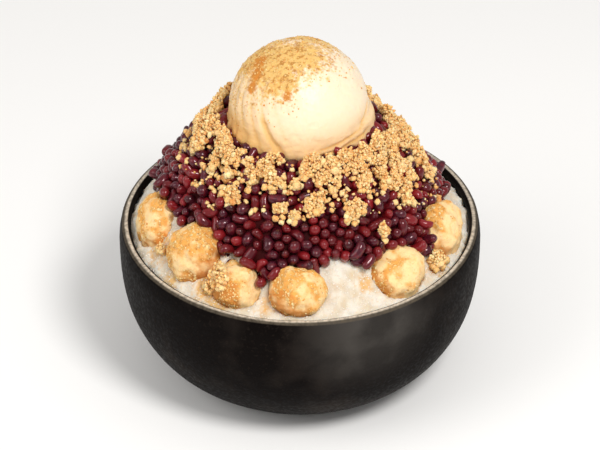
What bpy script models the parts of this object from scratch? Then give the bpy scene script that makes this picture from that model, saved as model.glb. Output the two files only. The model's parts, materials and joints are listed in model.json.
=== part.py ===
"""Red bean shaved ice in a black stoneware bowl: the bowl, the ice, the heap of sweet red
beans on it, rice cakes dusted with soybean powder, and a scoop of ice cream.

Metres, +Z up. The origin is the middle of the bowl's foot, and the front is -Y.
Azimuths are in degrees from the front, positive to the right as seen from the front.
"""

import math

import bmesh
import bpy
from mathutils import Vector, noise

# ---- Driving dimensions -------------------------------------------------------------------
COLUMNS = 48  # faces round every turned or heaped shape
GAP = 0.0003  # clearance where two pieces touch
LIFT = GAP * 1.8  # upright gap that leaves GAP across a slope

BELLY_RADIUS = 0.0814  # the bowl's widest radius
BOWL_HEIGHT = 0.0737
BELLY_DROP = 0.0085  # from the rim down to the widest part
LOWER_DEPTH = 0.0750  # from the widest part down to where the curve would close
LOWER_SHARPNESS = 2.757  # the two exponents of the curve below the belly
LOWER_FULLNESS = 2.117
SHOULDER_CURVE = 21.0  # how fast the wall leans in above the belly, per metre
WALL = 0.0046
FLOOR = 0.0070
FOOT_RING = 0.0060  # width of the ring that the bowl stands on
FOOT_RECESS = 0.0015
OUTER_STEPS = 14  # faces up the outside of the wall
STEP_BUNCHING = 0.85  # under 1 for shorter faces towards the foot
LIP_STEPS = 5
SHARP_EDGE = 40.0  # degrees

HEAP_BACK = 0.0080  # the heap's peak stands this far behind the bowl's middle
ICE_TOP = 0.0375  # above the rim
ICE_EDGE = -0.0035  # the ice meets the wall this far below the rim
HEAP_FLATNESS = 3.0  # exponents of the heap's section: this one flattens its top,
SLIMNESS = 1.15  # and this one makes its sides fall away sooner,
FRONT_EXTRA = 0.60  # more so in front
RIGHT_EXTRA = 0.60  # and on the right
ICE_UNEVENNESS = 0.0010
ICE_BUMP = 0.0140  # width of one bump

BEAN_REACH = 0.80  # where the beans end, as a share of the way from the peak to the wall
BEAN_CREST_DEPTH = 0.0145  # depth of the beans under the peak
BEAN_EDGE_DEPTH = 0.0055  # and at their ragged edge
BEAN_BULGE = 0.012  # how far the edge bulges past its foot, as a share of the way,
BEAN_BULGE_HEIGHT = 0.0025  # and how high above its foot
BEAN_UNEVENNESS = 0.0016
BEAN_BUMP = 0.0080
HEAP_STEPS = 6  # rings of faces from the peak to the beans' edge
BARE_STEPS = 2  # and from there to the wall
# Bays, where ice shows, have a negative reach, and tongues a positive one:
# azimuth, half width in degrees, reach as a share
BEAN_LOBES = (
    (18, 8, -0.13),
    (70, 5, -0.03),
    (-66, 7, -0.05),
    (-38, 6, -0.04),
    (-14, 6, 0.06),
    (27, 5, 0.05),
    (57, 6, 0.11),
    (113, 20, 0.12),
    (-116, 20, 0.12),
)

SCOOP_RADIUS = 0.0310
SCOOP_CENTRE = 0.0540  # above the rim
SCOOP_SUNK = 0.0120  # from its centre down to its flat underside
SKIRT = 0.0014  # how far its skirt stands out
SKIRT_DROP = 0.0060
SKIRT_WIDTH = 0.0040
SKIRT_RAGGEDNESS = 0.4
SKIRT_LOBES = 5
FOLD_DEPTH = 0.0008  # soft folds that the disher left on one side
FOLD_PITCH = 27.0  # degrees from fold to fold
FOLD_SWEEP = 0.45  # degrees round for each degree up
FOLDS_AZIMUTH = -62.0
FOLDS_SPREAD = 42.0
SCOOP_COLUMNS = 40
SCOOP_RINGS = 11

# azimuth, distance from the axis and height above the rim, then half sizes across, outwards
# and up, the turn about the vertical, and the squareness: 2 is an ellipsoid, more a block
RICE_CAKES = (
    (-80, 0.0634, 0.0020, (0.0158, 0.0100, 0.0142), 0, 2.0),
    (-49, 0.0600, 0.0075, (0.0124, 0.0120, 0.0138), 15, 2.2),
    (-26, 0.0632, 0.0028, (0.0116, 0.0104, 0.0100), -10, 2.1),
    (-1, 0.0638, 0.0048, (0.0122, 0.0106, 0.0110), 0, 2.0),
    (43, 0.0620, 0.0012, (0.0130, 0.0112, 0.0106), 20, 2.6),
    (77, 0.0632, 0.0012, (0.0154, 0.0102, 0.0138), 0, 2.1),
    (148, 0.0595, 0.0050, (0.0118, 0.0106, 0.0110), 12, 2.3),
    (178, 0.0606, 0.0040, (0.0112, 0.0108, 0.0106), -8, 2.0),
    (-152, 0.0600, 0.0050, (0.0120, 0.0104, 0.0108), 25, 2.4),
    (90, 0.0366, 0.0376, (0.0072, 0.0066, 0.0070), 0, 2.0),
)
CAKE_COLUMNS = 12
CAKE_RINGS = 6


# ---- Meshes -------------------------------------------------------------------------------
def clear_scene():
    for thing in list(bpy.data.objects):
        bpy.data.objects.remove(thing)


def clay(name, colour, roughness):
    """A plain finish: linear colour and roughness."""
    finish = bpy.data.materials.new(name)
    finish.use_nodes = True
    surface = finish.node_tree.nodes["Principled BSDF"]
    surface.inputs["Base Color"].default_value = (*colour, 1.0)
    surface.inputs["Roughness"].default_value = roughness
    surface.inputs["Metallic"].default_value = 0.0
    finish.diffuse_color = (*colour, 1.0)
    return finish


def add_object(name, mesh, finish):
    thing = bpy.data.objects.new(name, mesh)
    bpy.context.scene.collection.objects.link(thing)
    mesh.materials.append(finish)
    return thing


def closed_skin(name, first_pole, rings, last_pole):
    """A closed mesh through rings of points, from one pole to the other."""
    shape = bmesh.new()
    first = shape.verts.new(first_pole)
    rows = [[shape.verts.new(point) for point in ring] for ring in rings]
    last = shape.verts.new(last_pole)
    count = len(rows[0])
    for k in range(count):
        after = (k + 1) % count
        shape.faces.new((first, rows[0][after], rows[0][k]))
        for here, there in zip(rows, rows[1:]):
            shape.faces.new((here[k], here[after], there[after], there[k]))
        shape.faces.new((rows[-1][k], rows[-1][after], last))
    bmesh.ops.recalc_face_normals(shape, faces=shape.faces[:])
    mesh = bpy.data.meshes.new(name)
    shape.to_mesh(mesh)
    shape.free()
    mesh.shade_smooth()
    return mesh


def turned(name, section):
    """Spins a section of (radius, height) points that starts and ends on the axis."""
    shape = bmesh.new()
    points = [shape.verts.new((radius, 0.0, height)) for radius, height in section]
    edges = [shape.edges.new(pair) for pair in zip(points, points[1:])]
    bmesh.ops.spin(
        shape,
        geom=points + edges,
        cent=(0.0, 0.0, 0.0),
        axis=(0.0, 0.0, 1.0),
        angle=math.tau,
        steps=COLUMNS,
        use_merge=True,
    )
    bmesh.ops.remove_doubles(shape, verts=shape.verts[:], dist=1e-6)
    bmesh.ops.recalc_face_normals(shape, faces=shape.faces[:])
    mesh = bpy.data.meshes.new(name)
    shape.to_mesh(mesh)
    shape.free()
    mesh.shade_smooth()
    mesh.set_sharp_from_angle(angle=math.radians(SHARP_EDGE))
    return mesh


# ---- The bowl -----------------------------------------------------------------------------
def outer_radius(drop):
    """The bowl's outer radius, this far below the rim."""
    if drop < BELLY_DROP:
        return BELLY_RADIUS - SHOULDER_CURVE * (BELLY_DROP - drop) ** 2
    share = (drop - BELLY_DROP) / LOWER_DEPTH
    return BELLY_RADIUS * (1.0 - share**LOWER_SHARPNESS) ** (1.0 / LOWER_FULLNESS)


def outer_section():
    """(radius, height) points from the foot up to just below the lip."""
    shares = [(k / OUTER_STEPS) ** STEP_BUNCHING for k in range(OUTER_STEPS + 1)]
    drops = [BOWL_HEIGHT + (WALL / 2 - BOWL_HEIGHT) * share for share in shares]
    return [(outer_radius(drop), BOWL_HEIGHT - drop) for drop in drops]


def inner_section():
    """(radius, height) points down the inside, from just below the lip to the floor."""
    outer = [Vector(point) for point in outer_section()]
    inner = [outer[-1] - Vector((WALL, 0.0))]
    for k in range(OUTER_STEPS - 2, 0, -2):
        along = (outer[k + 1] - outer[k - 1]).normalized()
        point = outer[k] + Vector((-along.y, along.x)) * WALL
        if point.y > FLOOR + WALL / 2:
            inner.append(point)
    inner.append(Vector((inner[-1].x - 2 * WALL, FLOOR)))
    return [tuple(point) for point in inner]


def lip_section():
    """A half round from the outer wall over to the inner wall."""
    radius = WALL / 2
    middle = outer_radius(radius) - radius
    angles = [math.pi * k / LIP_STEPS for k in range(1, LIP_STEPS)]
    return [
        (middle + radius * math.cos(a), BOWL_HEIGHT - radius + radius * math.sin(a))
        for a in angles
    ]


def inner_radius(height):
    """The inside radius at a height, read off the inner section."""
    section = inner_section()
    for (r_high, z_high), (r_low, z_low) in zip(section, section[1:]):
        if z_low <= height <= z_high:
            share = (height - z_low) / (z_high - z_low)
            return r_low + share * (r_high - r_low)
    return section[0][0]


def make_bowl():
    outer = outer_section()
    ring_inside = outer[0][0] - FOOT_RING
    foot = [(0.0, FOOT_RECESS), (ring_inside - FOOT_RECESS, FOOT_RECESS), (ring_inside, 0.0)]
    section = foot + outer + lip_section() + inner_section() + [(0.0, FLOOR)]
    stoneware = clay("black_stoneware", (0.020, 0.017, 0.015), 0.5)
    add_object("bowl", turned("bowl", section), stoneware)


# ---- The heap -----------------------------------------------------------------------------
def azimuth_direction(degrees):
    """The flat unit vector that points out of the front at 0 and to the right at 90."""
    angle = math.radians(degrees)
    return Vector((math.sin(angle), -math.cos(angle)))


def column_azimuths():
    return [360.0 * k / COLUMNS - 180.0 for k in range(COLUMNS)]


def angle_between(a, b):
    return (a - b + 180.0) % 360.0 - 180.0


def bean_reach(azimuth):
    """Where the beans end in this direction, as a share of the way to the wall."""
    lobes = sum(
        reach * math.exp(-((angle_between(azimuth, middle) / width) ** 2))
        for middle, width, reach in BEAN_LOBES
    )
    return BEAN_REACH * (1.0 + lobes)


def heap_point(azimuth, share):
    """The flat position a share of the way from the heap's peak to the wall."""
    wall = azimuth_direction(azimuth) * (inner_radius(BOWL_HEIGHT + ICE_EDGE) - GAP)
    peak = Vector((0.0, HEAP_BACK))
    return peak + (wall - peak) * share


def bump(point, width):
    """Smooth bumps about this wide, between -1 and 1."""
    return noise.noise(point.to_3d() / width)


def ice_height(azimuth, share):
    """Height of the ice's top."""
    frontness = ((1.0 + math.cos(math.radians(azimuth))) / 2.0) ** 4
    rightness = ((1.0 + math.sin(math.radians(azimuth))) / 2.0) ** 4
    slimness = SLIMNESS + FRONT_EXTRA * frontness + RIGHT_EXTRA * rightness
    rise = (1.0 - share**HEAP_FLATNESS) ** slimness
    bumps = bump(heap_point(azimuth, share), ICE_BUMP) * ICE_UNEVENNESS * (1.0 - share**6)
    return BOWL_HEIGHT + ICE_EDGE + (ICE_TOP - ICE_EDGE) * rise + bumps


def bean_depth(azimuth, outward):
    """Depth of the beans; outward is 0 at the peak and 1 at the ragged edge."""
    depth = BEAN_EDGE_DEPTH + (BEAN_CREST_DEPTH - BEAN_EDGE_DEPTH) * (1.0 - outward**2)
    spot = heap_point(azimuth, outward * bean_reach(azimuth))
    return depth + bump(spot, BEAN_BUMP) * BEAN_UNEVENNESS


def share_at(azimuth, step):
    """Steps run from 0 at the peak, over the beans' edge, to the wall."""
    reach = bean_reach(azimuth)
    if step <= HEAP_STEPS:
        return reach * step / HEAP_STEPS
    return reach + (1.0 - reach) * (step - HEAP_STEPS) / BARE_STEPS


def point_above_ice(azimuth, share, lift):
    spot = heap_point(azimuth, share)
    return Vector((spot.x, spot.y, ice_height(azimuth, share) + lift))


def ring_above_ice(step, lift):
    return [point_above_ice(a, share_at(a, step), lift) for a in column_azimuths()]


def make_ice():
    floor = (0.0, 0.0, FLOOR + GAP)
    against_bowl = [
        [(*(azimuth_direction(a) * (radius - GAP)), height + GAP) for a in column_azimuths()]
        for radius, height in reversed(inner_section()[1:])
    ]
    top = [ring_above_ice(step, 0.0) for step in range(HEAP_STEPS + BARE_STEPS, 0, -1)]
    peak = (0.0, HEAP_BACK, ice_height(0.0, 0.0))
    snow = clay("shaved_ice", (0.93, 0.90, 0.84), 0.6)
    mesh = closed_skin("shaved_ice", floor, against_bowl + top, peak)
    return add_object("shaved_ice", mesh, snow)


def make_beans():
    over, edge = [], []
    for step in range(1, HEAP_STEPS + 1):
        ring = [
            point_above_ice(a, share_at(a, step), bean_depth(a, step / HEAP_STEPS))
            for a in column_azimuths()
        ]
        over.append(ring)
    for a in column_azimuths():
        spot = heap_point(a, bean_reach(a) + BEAN_BULGE)
        edge.append((spot.x, spot.y, ice_height(a, bean_reach(a)) + BEAN_BULGE_HEIGHT))
    under = [ring_above_ice(step, LIFT) for step in range(HEAP_STEPS, 0, -1)]
    crest = point_above_ice(0.0, 0.0, BEAN_CREST_DEPTH)
    beneath = point_above_ice(0.0, 0.0, LIFT)
    wet_red = clay("sweet_red_beans", (0.12, 0.012, 0.012), 0.3)
    mesh = closed_skin("red_beans", crest, over + [edge] + under, beneath)
    return add_object("red_beans", mesh, wet_red)


# ---- What lies on and in the heap -----------------------------------------------------------
def scoop_radius(azimuth, rise):
    """Distance of the scoop's surface from its upright axis; rise is the angle above level."""
    drop = SCOOP_RADIUS * math.sin(rise) + SKIRT_DROP
    ragged = 1.0 + SKIRT_RAGGEDNESS * math.sin(math.radians(SKIRT_LOBES * azimuth))
    skirt = SKIRT * ragged * math.exp(-((drop / SKIRT_WIDTH) ** 2))
    from_folds = angle_between(azimuth, FOLDS_AZIMUTH)
    folding = FOLD_DEPTH * math.exp(-((from_folds / FOLDS_SPREAD) ** 2))
    phase = 360.0 * (from_folds + FOLD_SWEEP * math.degrees(rise)) / FOLD_PITCH
    return SCOOP_RADIUS * math.cos(rise) + skirt + folding * math.cos(math.radians(phase))


def scoop_mesh(name, spare):
    """The scoop, or with spare its seat in the beans."""
    low = -(SCOOP_SUNK + spare)
    start = math.asin(-SCOOP_SUNK / SCOOP_RADIUS)
    azimuths = [360.0 * k / SCOOP_COLUMNS - 180.0 for k in range(SCOOP_COLUMNS)]
    rings = []
    for k in range(SCOOP_RINGS):
        rise = start + (math.pi / 2 - start) * k / SCOOP_RINGS
        height = low if k == 0 else (SCOOP_RADIUS + spare) * math.sin(rise)
        ring = [azimuth_direction(a) * (scoop_radius(a, rise) + spare) for a in azimuths]
        rings.append([spot.to_3d() + Vector((0, 0, height)) for spot in ring])
    return closed_skin(name, (0, 0, low), rings, (0, 0, SCOOP_RADIUS + spare))


def place_scoop(thing):
    thing.location = (0.0, HEAP_BACK, BOWL_HEIGHT + SCOOP_CENTRE)


def make_scoop():
    vanilla = clay("vanilla_ice_cream", (0.90, 0.76, 0.48), 0.45)
    scoop = add_object("ice_cream_scoop", scoop_mesh("ice_cream_scoop", 0.0), vanilla)
    place_scoop(scoop)


def rice_cake_mesh(name, half_sizes, squareness, spare):
    """A lump between an ellipsoid and a rounded block."""

    def point(turn, rise):
        way = Vector(
            (math.cos(rise) * math.cos(turn), math.cos(rise) * math.sin(turn), math.sin(rise))
        )
        reach = sum(abs(part) ** squareness for part in way) ** (-1.0 / squareness)
        return Vector([part * reach * (half + spare) for part, half in zip(way, half_sizes)])

    turns = [math.tau * k / CAKE_COLUMNS for k in range(CAKE_COLUMNS)]
    rises = [math.pi * (k / (CAKE_RINGS + 1) - 0.5) for k in range(1, CAKE_RINGS + 1)]
    rings = [[point(turn, rise) for turn in turns] for rise in rises]
    depth = half_sizes[2] + spare
    return closed_skin(name, (0, 0, -depth), rings, (0, 0, depth))


def place_rice_cake(thing, azimuth, distance, height, turn):
    spot = azimuth_direction(azimuth) * distance
    thing.location = (spot.x, spot.y, BOWL_HEIGHT + height)
    thing.rotation_euler = (0.0, 0.0, math.radians(azimuth + turn))


def make_rice_cakes(seats):
    """The rice cakes, and in the seats collection a slightly larger cutter for each."""
    floury = clay("rice_cake_in_soybean_powder", (0.82, 0.50, 0.20), 0.85)
    for number, cake in enumerate(RICE_CAKES, start=1):
        azimuth, distance, height, half_sizes, turn, squareness = cake
        name = f"rice_cake_{number}"
        mesh = rice_cake_mesh(name, half_sizes, squareness, 0.0)
        place_rice_cake(add_object(name, mesh, floury), azimuth, distance, height, turn)
        cutter_mesh = rice_cake_mesh(name + "_seat", half_sizes, squareness, GAP)
        cutter = bpy.data.objects.new(name + "_seat", cutter_mesh)
        place_rice_cake(cutter, azimuth, distance, height, turn)
        add_cutter(cutter, seats)


def add_cutter(cutter, seats):
    seats.objects.link(cutter)
    cutter.hide_render = True
    cutter.display_type = "WIRE"


def seat_in(heap, seats):
    cut = heap.modifiers.new("seats", "BOOLEAN")
    cut.operation = "DIFFERENCE"
    cut.operand_type = "COLLECTION"
    cut.collection = seats
    cut.solver = "EXACT"


def main():
    clear_scene()
    seats = bpy.data.collections.new("seats")
    bpy.context.scene.collection.children.link(seats)
    make_bowl()
    ice = make_ice()
    beans = make_beans()
    make_scoop()
    make_rice_cakes(seats)
    scoop_seat = bpy.data.objects.new("scoop_seat", scoop_mesh("scoop_seat", GAP))
    place_scoop(scoop_seat)
    add_cutter(scoop_seat, seats)
    seat_in(ice, seats)
    seat_in(beans, seats)


main()
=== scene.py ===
"""Looks of a red bean bingsu: a black stoneware bowl of shaved milk ice under a heap of sweet
red beans, with powdered rice cakes, soybean crumbs and a scoop of vanilla ice cream.

Run it as a script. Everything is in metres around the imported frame, +Z up, front at -Y.
Azimuths are in degrees from the front, positive to the right as seen from the front.
"""

import json
import math

import bmesh
import bpy
import numpy as np
from bpy.props import FloatProperty, FloatVectorProperty, IntProperty, PointerProperty
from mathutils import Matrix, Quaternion, Vector, noise
from mathutils.bvhtree import BVHTree

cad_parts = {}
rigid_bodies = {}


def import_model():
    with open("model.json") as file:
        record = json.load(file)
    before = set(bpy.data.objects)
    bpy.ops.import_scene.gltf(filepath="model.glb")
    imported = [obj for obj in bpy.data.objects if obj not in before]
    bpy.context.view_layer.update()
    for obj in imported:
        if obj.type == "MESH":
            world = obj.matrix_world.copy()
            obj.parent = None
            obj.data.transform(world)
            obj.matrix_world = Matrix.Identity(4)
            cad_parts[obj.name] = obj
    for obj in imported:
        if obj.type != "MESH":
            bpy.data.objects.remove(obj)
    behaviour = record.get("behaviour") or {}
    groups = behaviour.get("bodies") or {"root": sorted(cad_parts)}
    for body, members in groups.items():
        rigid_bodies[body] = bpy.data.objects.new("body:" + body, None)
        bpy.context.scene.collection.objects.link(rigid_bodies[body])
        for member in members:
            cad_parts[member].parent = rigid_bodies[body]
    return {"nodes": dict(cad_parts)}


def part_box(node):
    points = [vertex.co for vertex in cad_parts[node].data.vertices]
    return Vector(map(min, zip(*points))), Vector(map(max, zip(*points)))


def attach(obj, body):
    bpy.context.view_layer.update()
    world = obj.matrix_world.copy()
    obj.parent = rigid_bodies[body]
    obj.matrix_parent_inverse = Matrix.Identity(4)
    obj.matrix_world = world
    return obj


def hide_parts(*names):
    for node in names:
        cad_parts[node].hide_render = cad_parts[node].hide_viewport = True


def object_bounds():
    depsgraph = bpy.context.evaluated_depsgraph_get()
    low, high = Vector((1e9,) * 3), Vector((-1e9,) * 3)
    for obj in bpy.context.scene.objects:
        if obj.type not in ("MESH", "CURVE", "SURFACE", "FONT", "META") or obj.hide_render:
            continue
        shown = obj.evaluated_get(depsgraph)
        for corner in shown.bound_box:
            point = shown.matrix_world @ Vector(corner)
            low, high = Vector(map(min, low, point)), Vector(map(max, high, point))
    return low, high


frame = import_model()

bl_info = {
    "name": "Red bean bingsu", "version": (1, 0, 0), "blender": (4, 5, 0),
    "location": "View3D > Sidebar > Bingsu",
    "description": "Builds the looks of a bowl of red bean shaved ice around its frame",
    "category": "Object",
}

CAD_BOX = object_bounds()
MM = 0.001
DOWN = Vector((0.0, 0.0, -1.0))
ABOVE_ALL = CAD_BOX[1].z + 0.01
CAKES = sorted(name for name in frame["nodes"] if name.startswith("rice_cake"))

# What the frame says about the places of things
BOWL_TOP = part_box("bowl")[1]
RIM = BOWL_TOP.z
BELLY = BOWL_TOP.x
CREST = [v.co.xy.length for v in frame["nodes"]["bowl"].data.vertices if v.co.z > RIM - 1e-5]
LIP_MIDDLE = (min(CREST) + max(CREST)) / 2
PAINTED_SHEEN_MIDDLE = (0.39 * BELLY, -0.92 * BELLY, 0.88 * RIM)  # middle of a painted grey sheen, a soft reflection painted into the glaze
PAINTED_SHEEN_REACH = 0.040  # how far from there it fades out
SCOOP_LOW, SCOOP_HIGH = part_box("ice_cream_scoop")
SCOOP_AXIS = (SCOOP_LOW + SCOOP_HIGH) / 2
PEAK = Vector((SCOOP_AXIS.x, SCOOP_AXIS.y, 0.0))  # the heap's middle, under the scoop


# ---- Small helpers ----
def linear(hex_colour):
    """An sRGB hex colour as linear red, green and blue."""
    parts = [int(hex_colour[k : k + 2], 16) / 255 for k in (1, 3, 5)]
    return tuple(p / 12.92 if p <= 0.04045 else ((p + 0.055) / 1.055) ** 2.4 for p in parts)


def length(name, description, default):
    return FloatProperty(
        name=name, description=description, default=default, unit="LENGTH", precision=5
    )


def angle(name, description, degrees):
    return FloatProperty(
        name=name, description=description, default=math.radians(degrees), subtype="ANGLE"
    )


def count(name, description, default):
    return IntProperty(name=name, description=description, default=default, min=1)


def colour(name, description, hex_colour):
    return FloatVectorProperty(
        name=name, description=description, default=linear(hex_colour), size=3, min=0.0, max=1.0,
        subtype="COLOR",
    )


def connect(tree, node, *inputs, **named):
    """Gives inputs to a node, by place or by name with _ for a space. Each is a value, a socket
    or a node, whose first output it takes."""
    for key, value in [*enumerate(inputs), *named.items()]:
        if isinstance(key, int):
            socket = node.inputs[key]
        else:
            names = [(s, (s.name.replace(" ", "_"), s.identifier)) for s in node.inputs]
            socket = next(s for s, known in names if s.enabled and key in known)
        if isinstance(value, bpy.types.Node):
            value = next(s for s in value.outputs if s.enabled)
        if isinstance(value, bpy.types.NodeSocket):
            tree.links.new(value, socket)
        elif socket.type == "RGBA":
            socket.default_value = (*value, 1.0)[:4]
        else:
            socket.default_value = value


def add(tree, kind, *inputs, **named):
    """Adds a node with its settings, which have small letters, and its inputs."""
    made = tree.nodes.new(kind)
    for name in [name for name in named if name.islower()]:
        setattr(made, name, named.pop(name))
    connect(tree, made, *inputs, **named)
    return made


def flat_way(azimuth):
    """Unit vector on the table for an azimuth in degrees."""
    turn = math.radians(azimuth)
    return Vector((math.sin(turn), -math.cos(turn), 0.0))


def way_to(azimuth, rise):
    """Unit vector for an azimuth and a rise above level, both in degrees."""
    up = math.radians(rise)
    return flat_way(azimuth) * math.cos(up) + Vector((0.0, 0.0, math.sin(up)))


def smoothstep(low, high, value):
    t = np.clip((value - low) / (high - low), 0.0, 1.0)
    return t * t * (3.0 - 2.0 * t)


def bumps(points, width, seed=0.0, octaves=1):
    """Smooth noise between about -1 and 1 at each point, with bumps this wide."""
    shift = Vector((seed * 7.3, seed * 3.1, seed * 5.7))
    values = []
    for point in points:
        where = Vector(point) / width + shift
        values.append(noise.fractal(where, 1.0, 2.0, octaves) if octaves > 1 else noise.noise(where))
    return np.array(values)


def mesh_from_rings(name, first_pole, rings, last_pole):
    """A closed mesh through rings of points from one pole to the other, facing outwards."""
    shape = bmesh.new()
    first = shape.verts.new(first_pole)
    rows = [[shape.verts.new(point) for point in ring] for ring in rings]
    last = shape.verts.new(last_pole)
    columns = len(rows[0])
    for k in range(columns):
        after = (k + 1) % columns
        shape.faces.new((first, rows[0][after], rows[0][k]))
        for here, there in zip(rows, rows[1:]):
            shape.faces.new((here[k], here[after], there[after], there[k]))
        shape.faces.new((rows[-1][k], rows[-1][after], last))
    bmesh.ops.recalc_face_normals(shape, faces=shape.faces[:])
    mesh = bpy.data.meshes.new(name)
    shape.to_mesh(mesh)
    shape.free()
    mesh.shade_smooth()
    return mesh


def set_attribute(mesh, name, values, kind="FLOAT"):
    """Stores one value, or one vector, for each vertex."""
    layer = mesh.attributes.new(name, kind, "POINT")
    key = "vector" if kind == "FLOAT_VECTOR" else "value"
    layer.data.foreach_set(key, np.asarray(values, np.float32).ravel())


def put(name, data):
    """A new object in the scene."""
    made = bpy.data.objects.new(name, data)
    bpy.context.scene.collection.objects.link(made)
    return made


def piece(name, mesh, finish, slot, *nodes):
    """A finished piece on the one body, standing for those CAD nodes."""
    made = put(name, mesh)
    if finish.name not in mesh.materials:
        mesh.materials.append(finish)
    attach(made, "root")
    if nodes:
        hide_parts(*nodes)
    return made


def grown(name, base, tree, **values):
    """The plain mesh that a geometry tree makes from a base mesh, with these inputs, which are
    given by name with _ for a space."""
    carrier = put(name, base)
    modifier = carrier.modifiers.new("grow", "NODES")
    modifier.node_group = tree
    for item in tree.interface.items_tree:
        key = item.name.replace(" ", "_")
        if item.in_out == "INPUT" and key in values:
            modifier[item.identifier] = values[key]
    graph = bpy.context.evaluated_depsgraph_get()
    mesh = bpy.data.meshes.new_from_object(carrier.evaluated_get(graph), depsgraph=graph)
    bpy.data.objects.remove(carrier)
    mesh.name = name
    return mesh


def strewn(name, base, material, slot, **values):
    """A piece of grains strewn over a copy of a mesh, as thickly as its powder attribute says."""
    tree = bpy.data.node_groups["strewn_grains"]
    piece(name, grown(name, base.copy(), tree, Material=material, **values), material, slot)


def cad_copy(name):
    """A copy of a CAD node's mesh with its loose triangles merged."""
    mesh = frame["nodes"][name].data.copy()
    shape = bmesh.new()
    shape.from_mesh(mesh)
    bmesh.ops.remove_doubles(shape, verts=shape.verts[:], dist=1e-6)
    shape.to_mesh(mesh)
    shape.free()
    mesh.materials.clear()
    return mesh


def tree_of(*meshes):
    """One search tree over several meshes."""
    points, faces = [], []
    for mesh in meshes:
        start = len(points)
        points += [v.co.copy() for v in mesh.vertices]
        faces += [[start + index for index in p.vertices] for p in mesh.polygons]
    return BVHTree.FromPolygons(points, faces)


ICE_CELL, HEAP_CELL, CRUMB_CELL = 0.0015, 0.001, 0.0005  # cells of the grids of heights


class Terrain:
    """Heights over a square of the table, read straight down on to a search tree."""

    def __init__(self, half, cell, tree, bare=np.nan):
        self.half, self.cell = half, cell
        self.count = int(round(2 * half / cell)) + 1
        self.heights = np.full((self.count, self.count), bare)
        places = [k * cell - half for k in range(self.count)]
        for i, x in enumerate(places):
            for j, y in enumerate(places):
                hit = tree.ray_cast(Vector((x, y, ABOVE_ALL)), DOWN)[0]
                if hit:
                    self.heights[i, j] = hit.z

    def fill(self, rounds=60):
        """Spreads known heights into the places that have none."""
        for _ in range(rounds):
            gaps = np.isnan(self.heights)
            if not gaps.any():
                return self
            padded = np.pad(self.heights, 1, mode="edge")
            around = np.stack(
                [padded[1:-1, :-2], padded[1:-1, 2:], padded[:-2, 1:-1], padded[2:, 1:-1]]
            )
            known = ~np.isnan(around)
            total = np.where(known, around, 0.0).sum(0)
            spread = total / np.maximum(known.sum(0), 1)
            use = gaps & known.any(0)
            self.heights[use] = spread[use]
        return self

    def cell_of(self, x, y):
        """The grid point nearest to a place."""
        return (int(round((x + self.half) / self.cell)), int(round((y + self.half) / self.cell)))

    def at(self, x, y):
        """Heights between the grid's points."""
        u = np.clip((np.asarray(x) + self.half) / self.cell, 0, self.count - 1.001)
        v = np.clip((np.asarray(y) + self.half) / self.cell, 0, self.count - 1.001)
        i, j = u.astype(int), v.astype(int)
        du, dv = u - i, v - j
        h = self.heights
        low = h[i, j] * (1 - du) + h[i + 1, j] * du
        high = h[i, j + 1] * (1 - du) + h[i + 1, j + 1] * du
        return low * (1 - dv) + high * dv

    def normals(self, x, y):
        """Upward unit normals, and zeros where heights aren't known."""
        step = self.cell
        rise_x = (self.at(x + step, y) - self.at(x - step, y)) / (2 * step)
        rise_y = (self.at(x, y + step) - self.at(x, y - step)) / (2 * step)
        up = np.stack([-rise_x, -rise_y, np.ones_like(rise_x)], -1)
        return np.nan_to_num(up / np.linalg.norm(up, axis=-1, keepdims=True), nan=0.0)


# ---- Geometry trees ----
def new_tree(name, inputs):
    """A geometry tree with one geometry in and out, these named inputs and a material."""
    tree = bpy.data.node_groups.new(name, "GeometryNodeTree")
    kinds = {int: "NodeSocketInt", float: "NodeSocketFloat"}
    tree.interface.new_socket("Geometry", in_out="INPUT", socket_type="NodeSocketGeometry")
    tree.interface.new_socket("Geometry", in_out="OUTPUT", socket_type="NodeSocketGeometry")
    for label, default in [*inputs.items(), ("Material", "NodeSocketMaterial")]:
        kind = default if isinstance(default, str) else kinds[type(default)]
        socket = tree.interface.new_socket(label, in_out="INPUT", socket_type=kind)
        if not isinstance(default, str):
            socket.default_value = default
    return tree, tree.nodes.new("NodeGroupInput")


def end_tree(tree, given, geometry):
    """Realizes what the tree has made, smooths it, and gives it its material."""
    real = add(tree, "GeometryNodeRealizeInstances", Geometry=geometry)
    smooth = add(tree, "GeometryNodeSetShadeSmooth", Geometry=real)
    painted = add(tree, "GeometryNodeSetMaterial", Geometry=smooth, Material=given.outputs["Material"])
    add(tree, "NodeGroupOutput", Geometry=painted)
    return tree


def roughened(tree, out, geometry, **layers):
    """Moves a surface along its normals by layers of noise, each given with its detail. The
    tree's inputs say how wide a layer's bumps are, and how high."""
    for layer, detail in layers.items():
        scale = add(tree, "ShaderNodeMath", 1.0, out[layer + " width"], operation="DIVIDE")
        grain = add(tree, "ShaderNodeTexNoise", Scale=scale, Detail=detail)
        centred = add(tree, "ShaderNodeMath", grain, 0.5, operation="SUBTRACT")
        height = out[layer + " height"]
        amount = add(tree, "ShaderNodeMath", centred, height, operation="MULTIPLY")
        normal = add(tree, "GeometryNodeInputNormal")
        along = add(tree, "ShaderNodeVectorMath", operation="SCALE", Vector=normal, Scale=amount)
        geometry = add(tree, "GeometryNodeSetPosition", Geometry=geometry, Offset=along)
    return geometry


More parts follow.
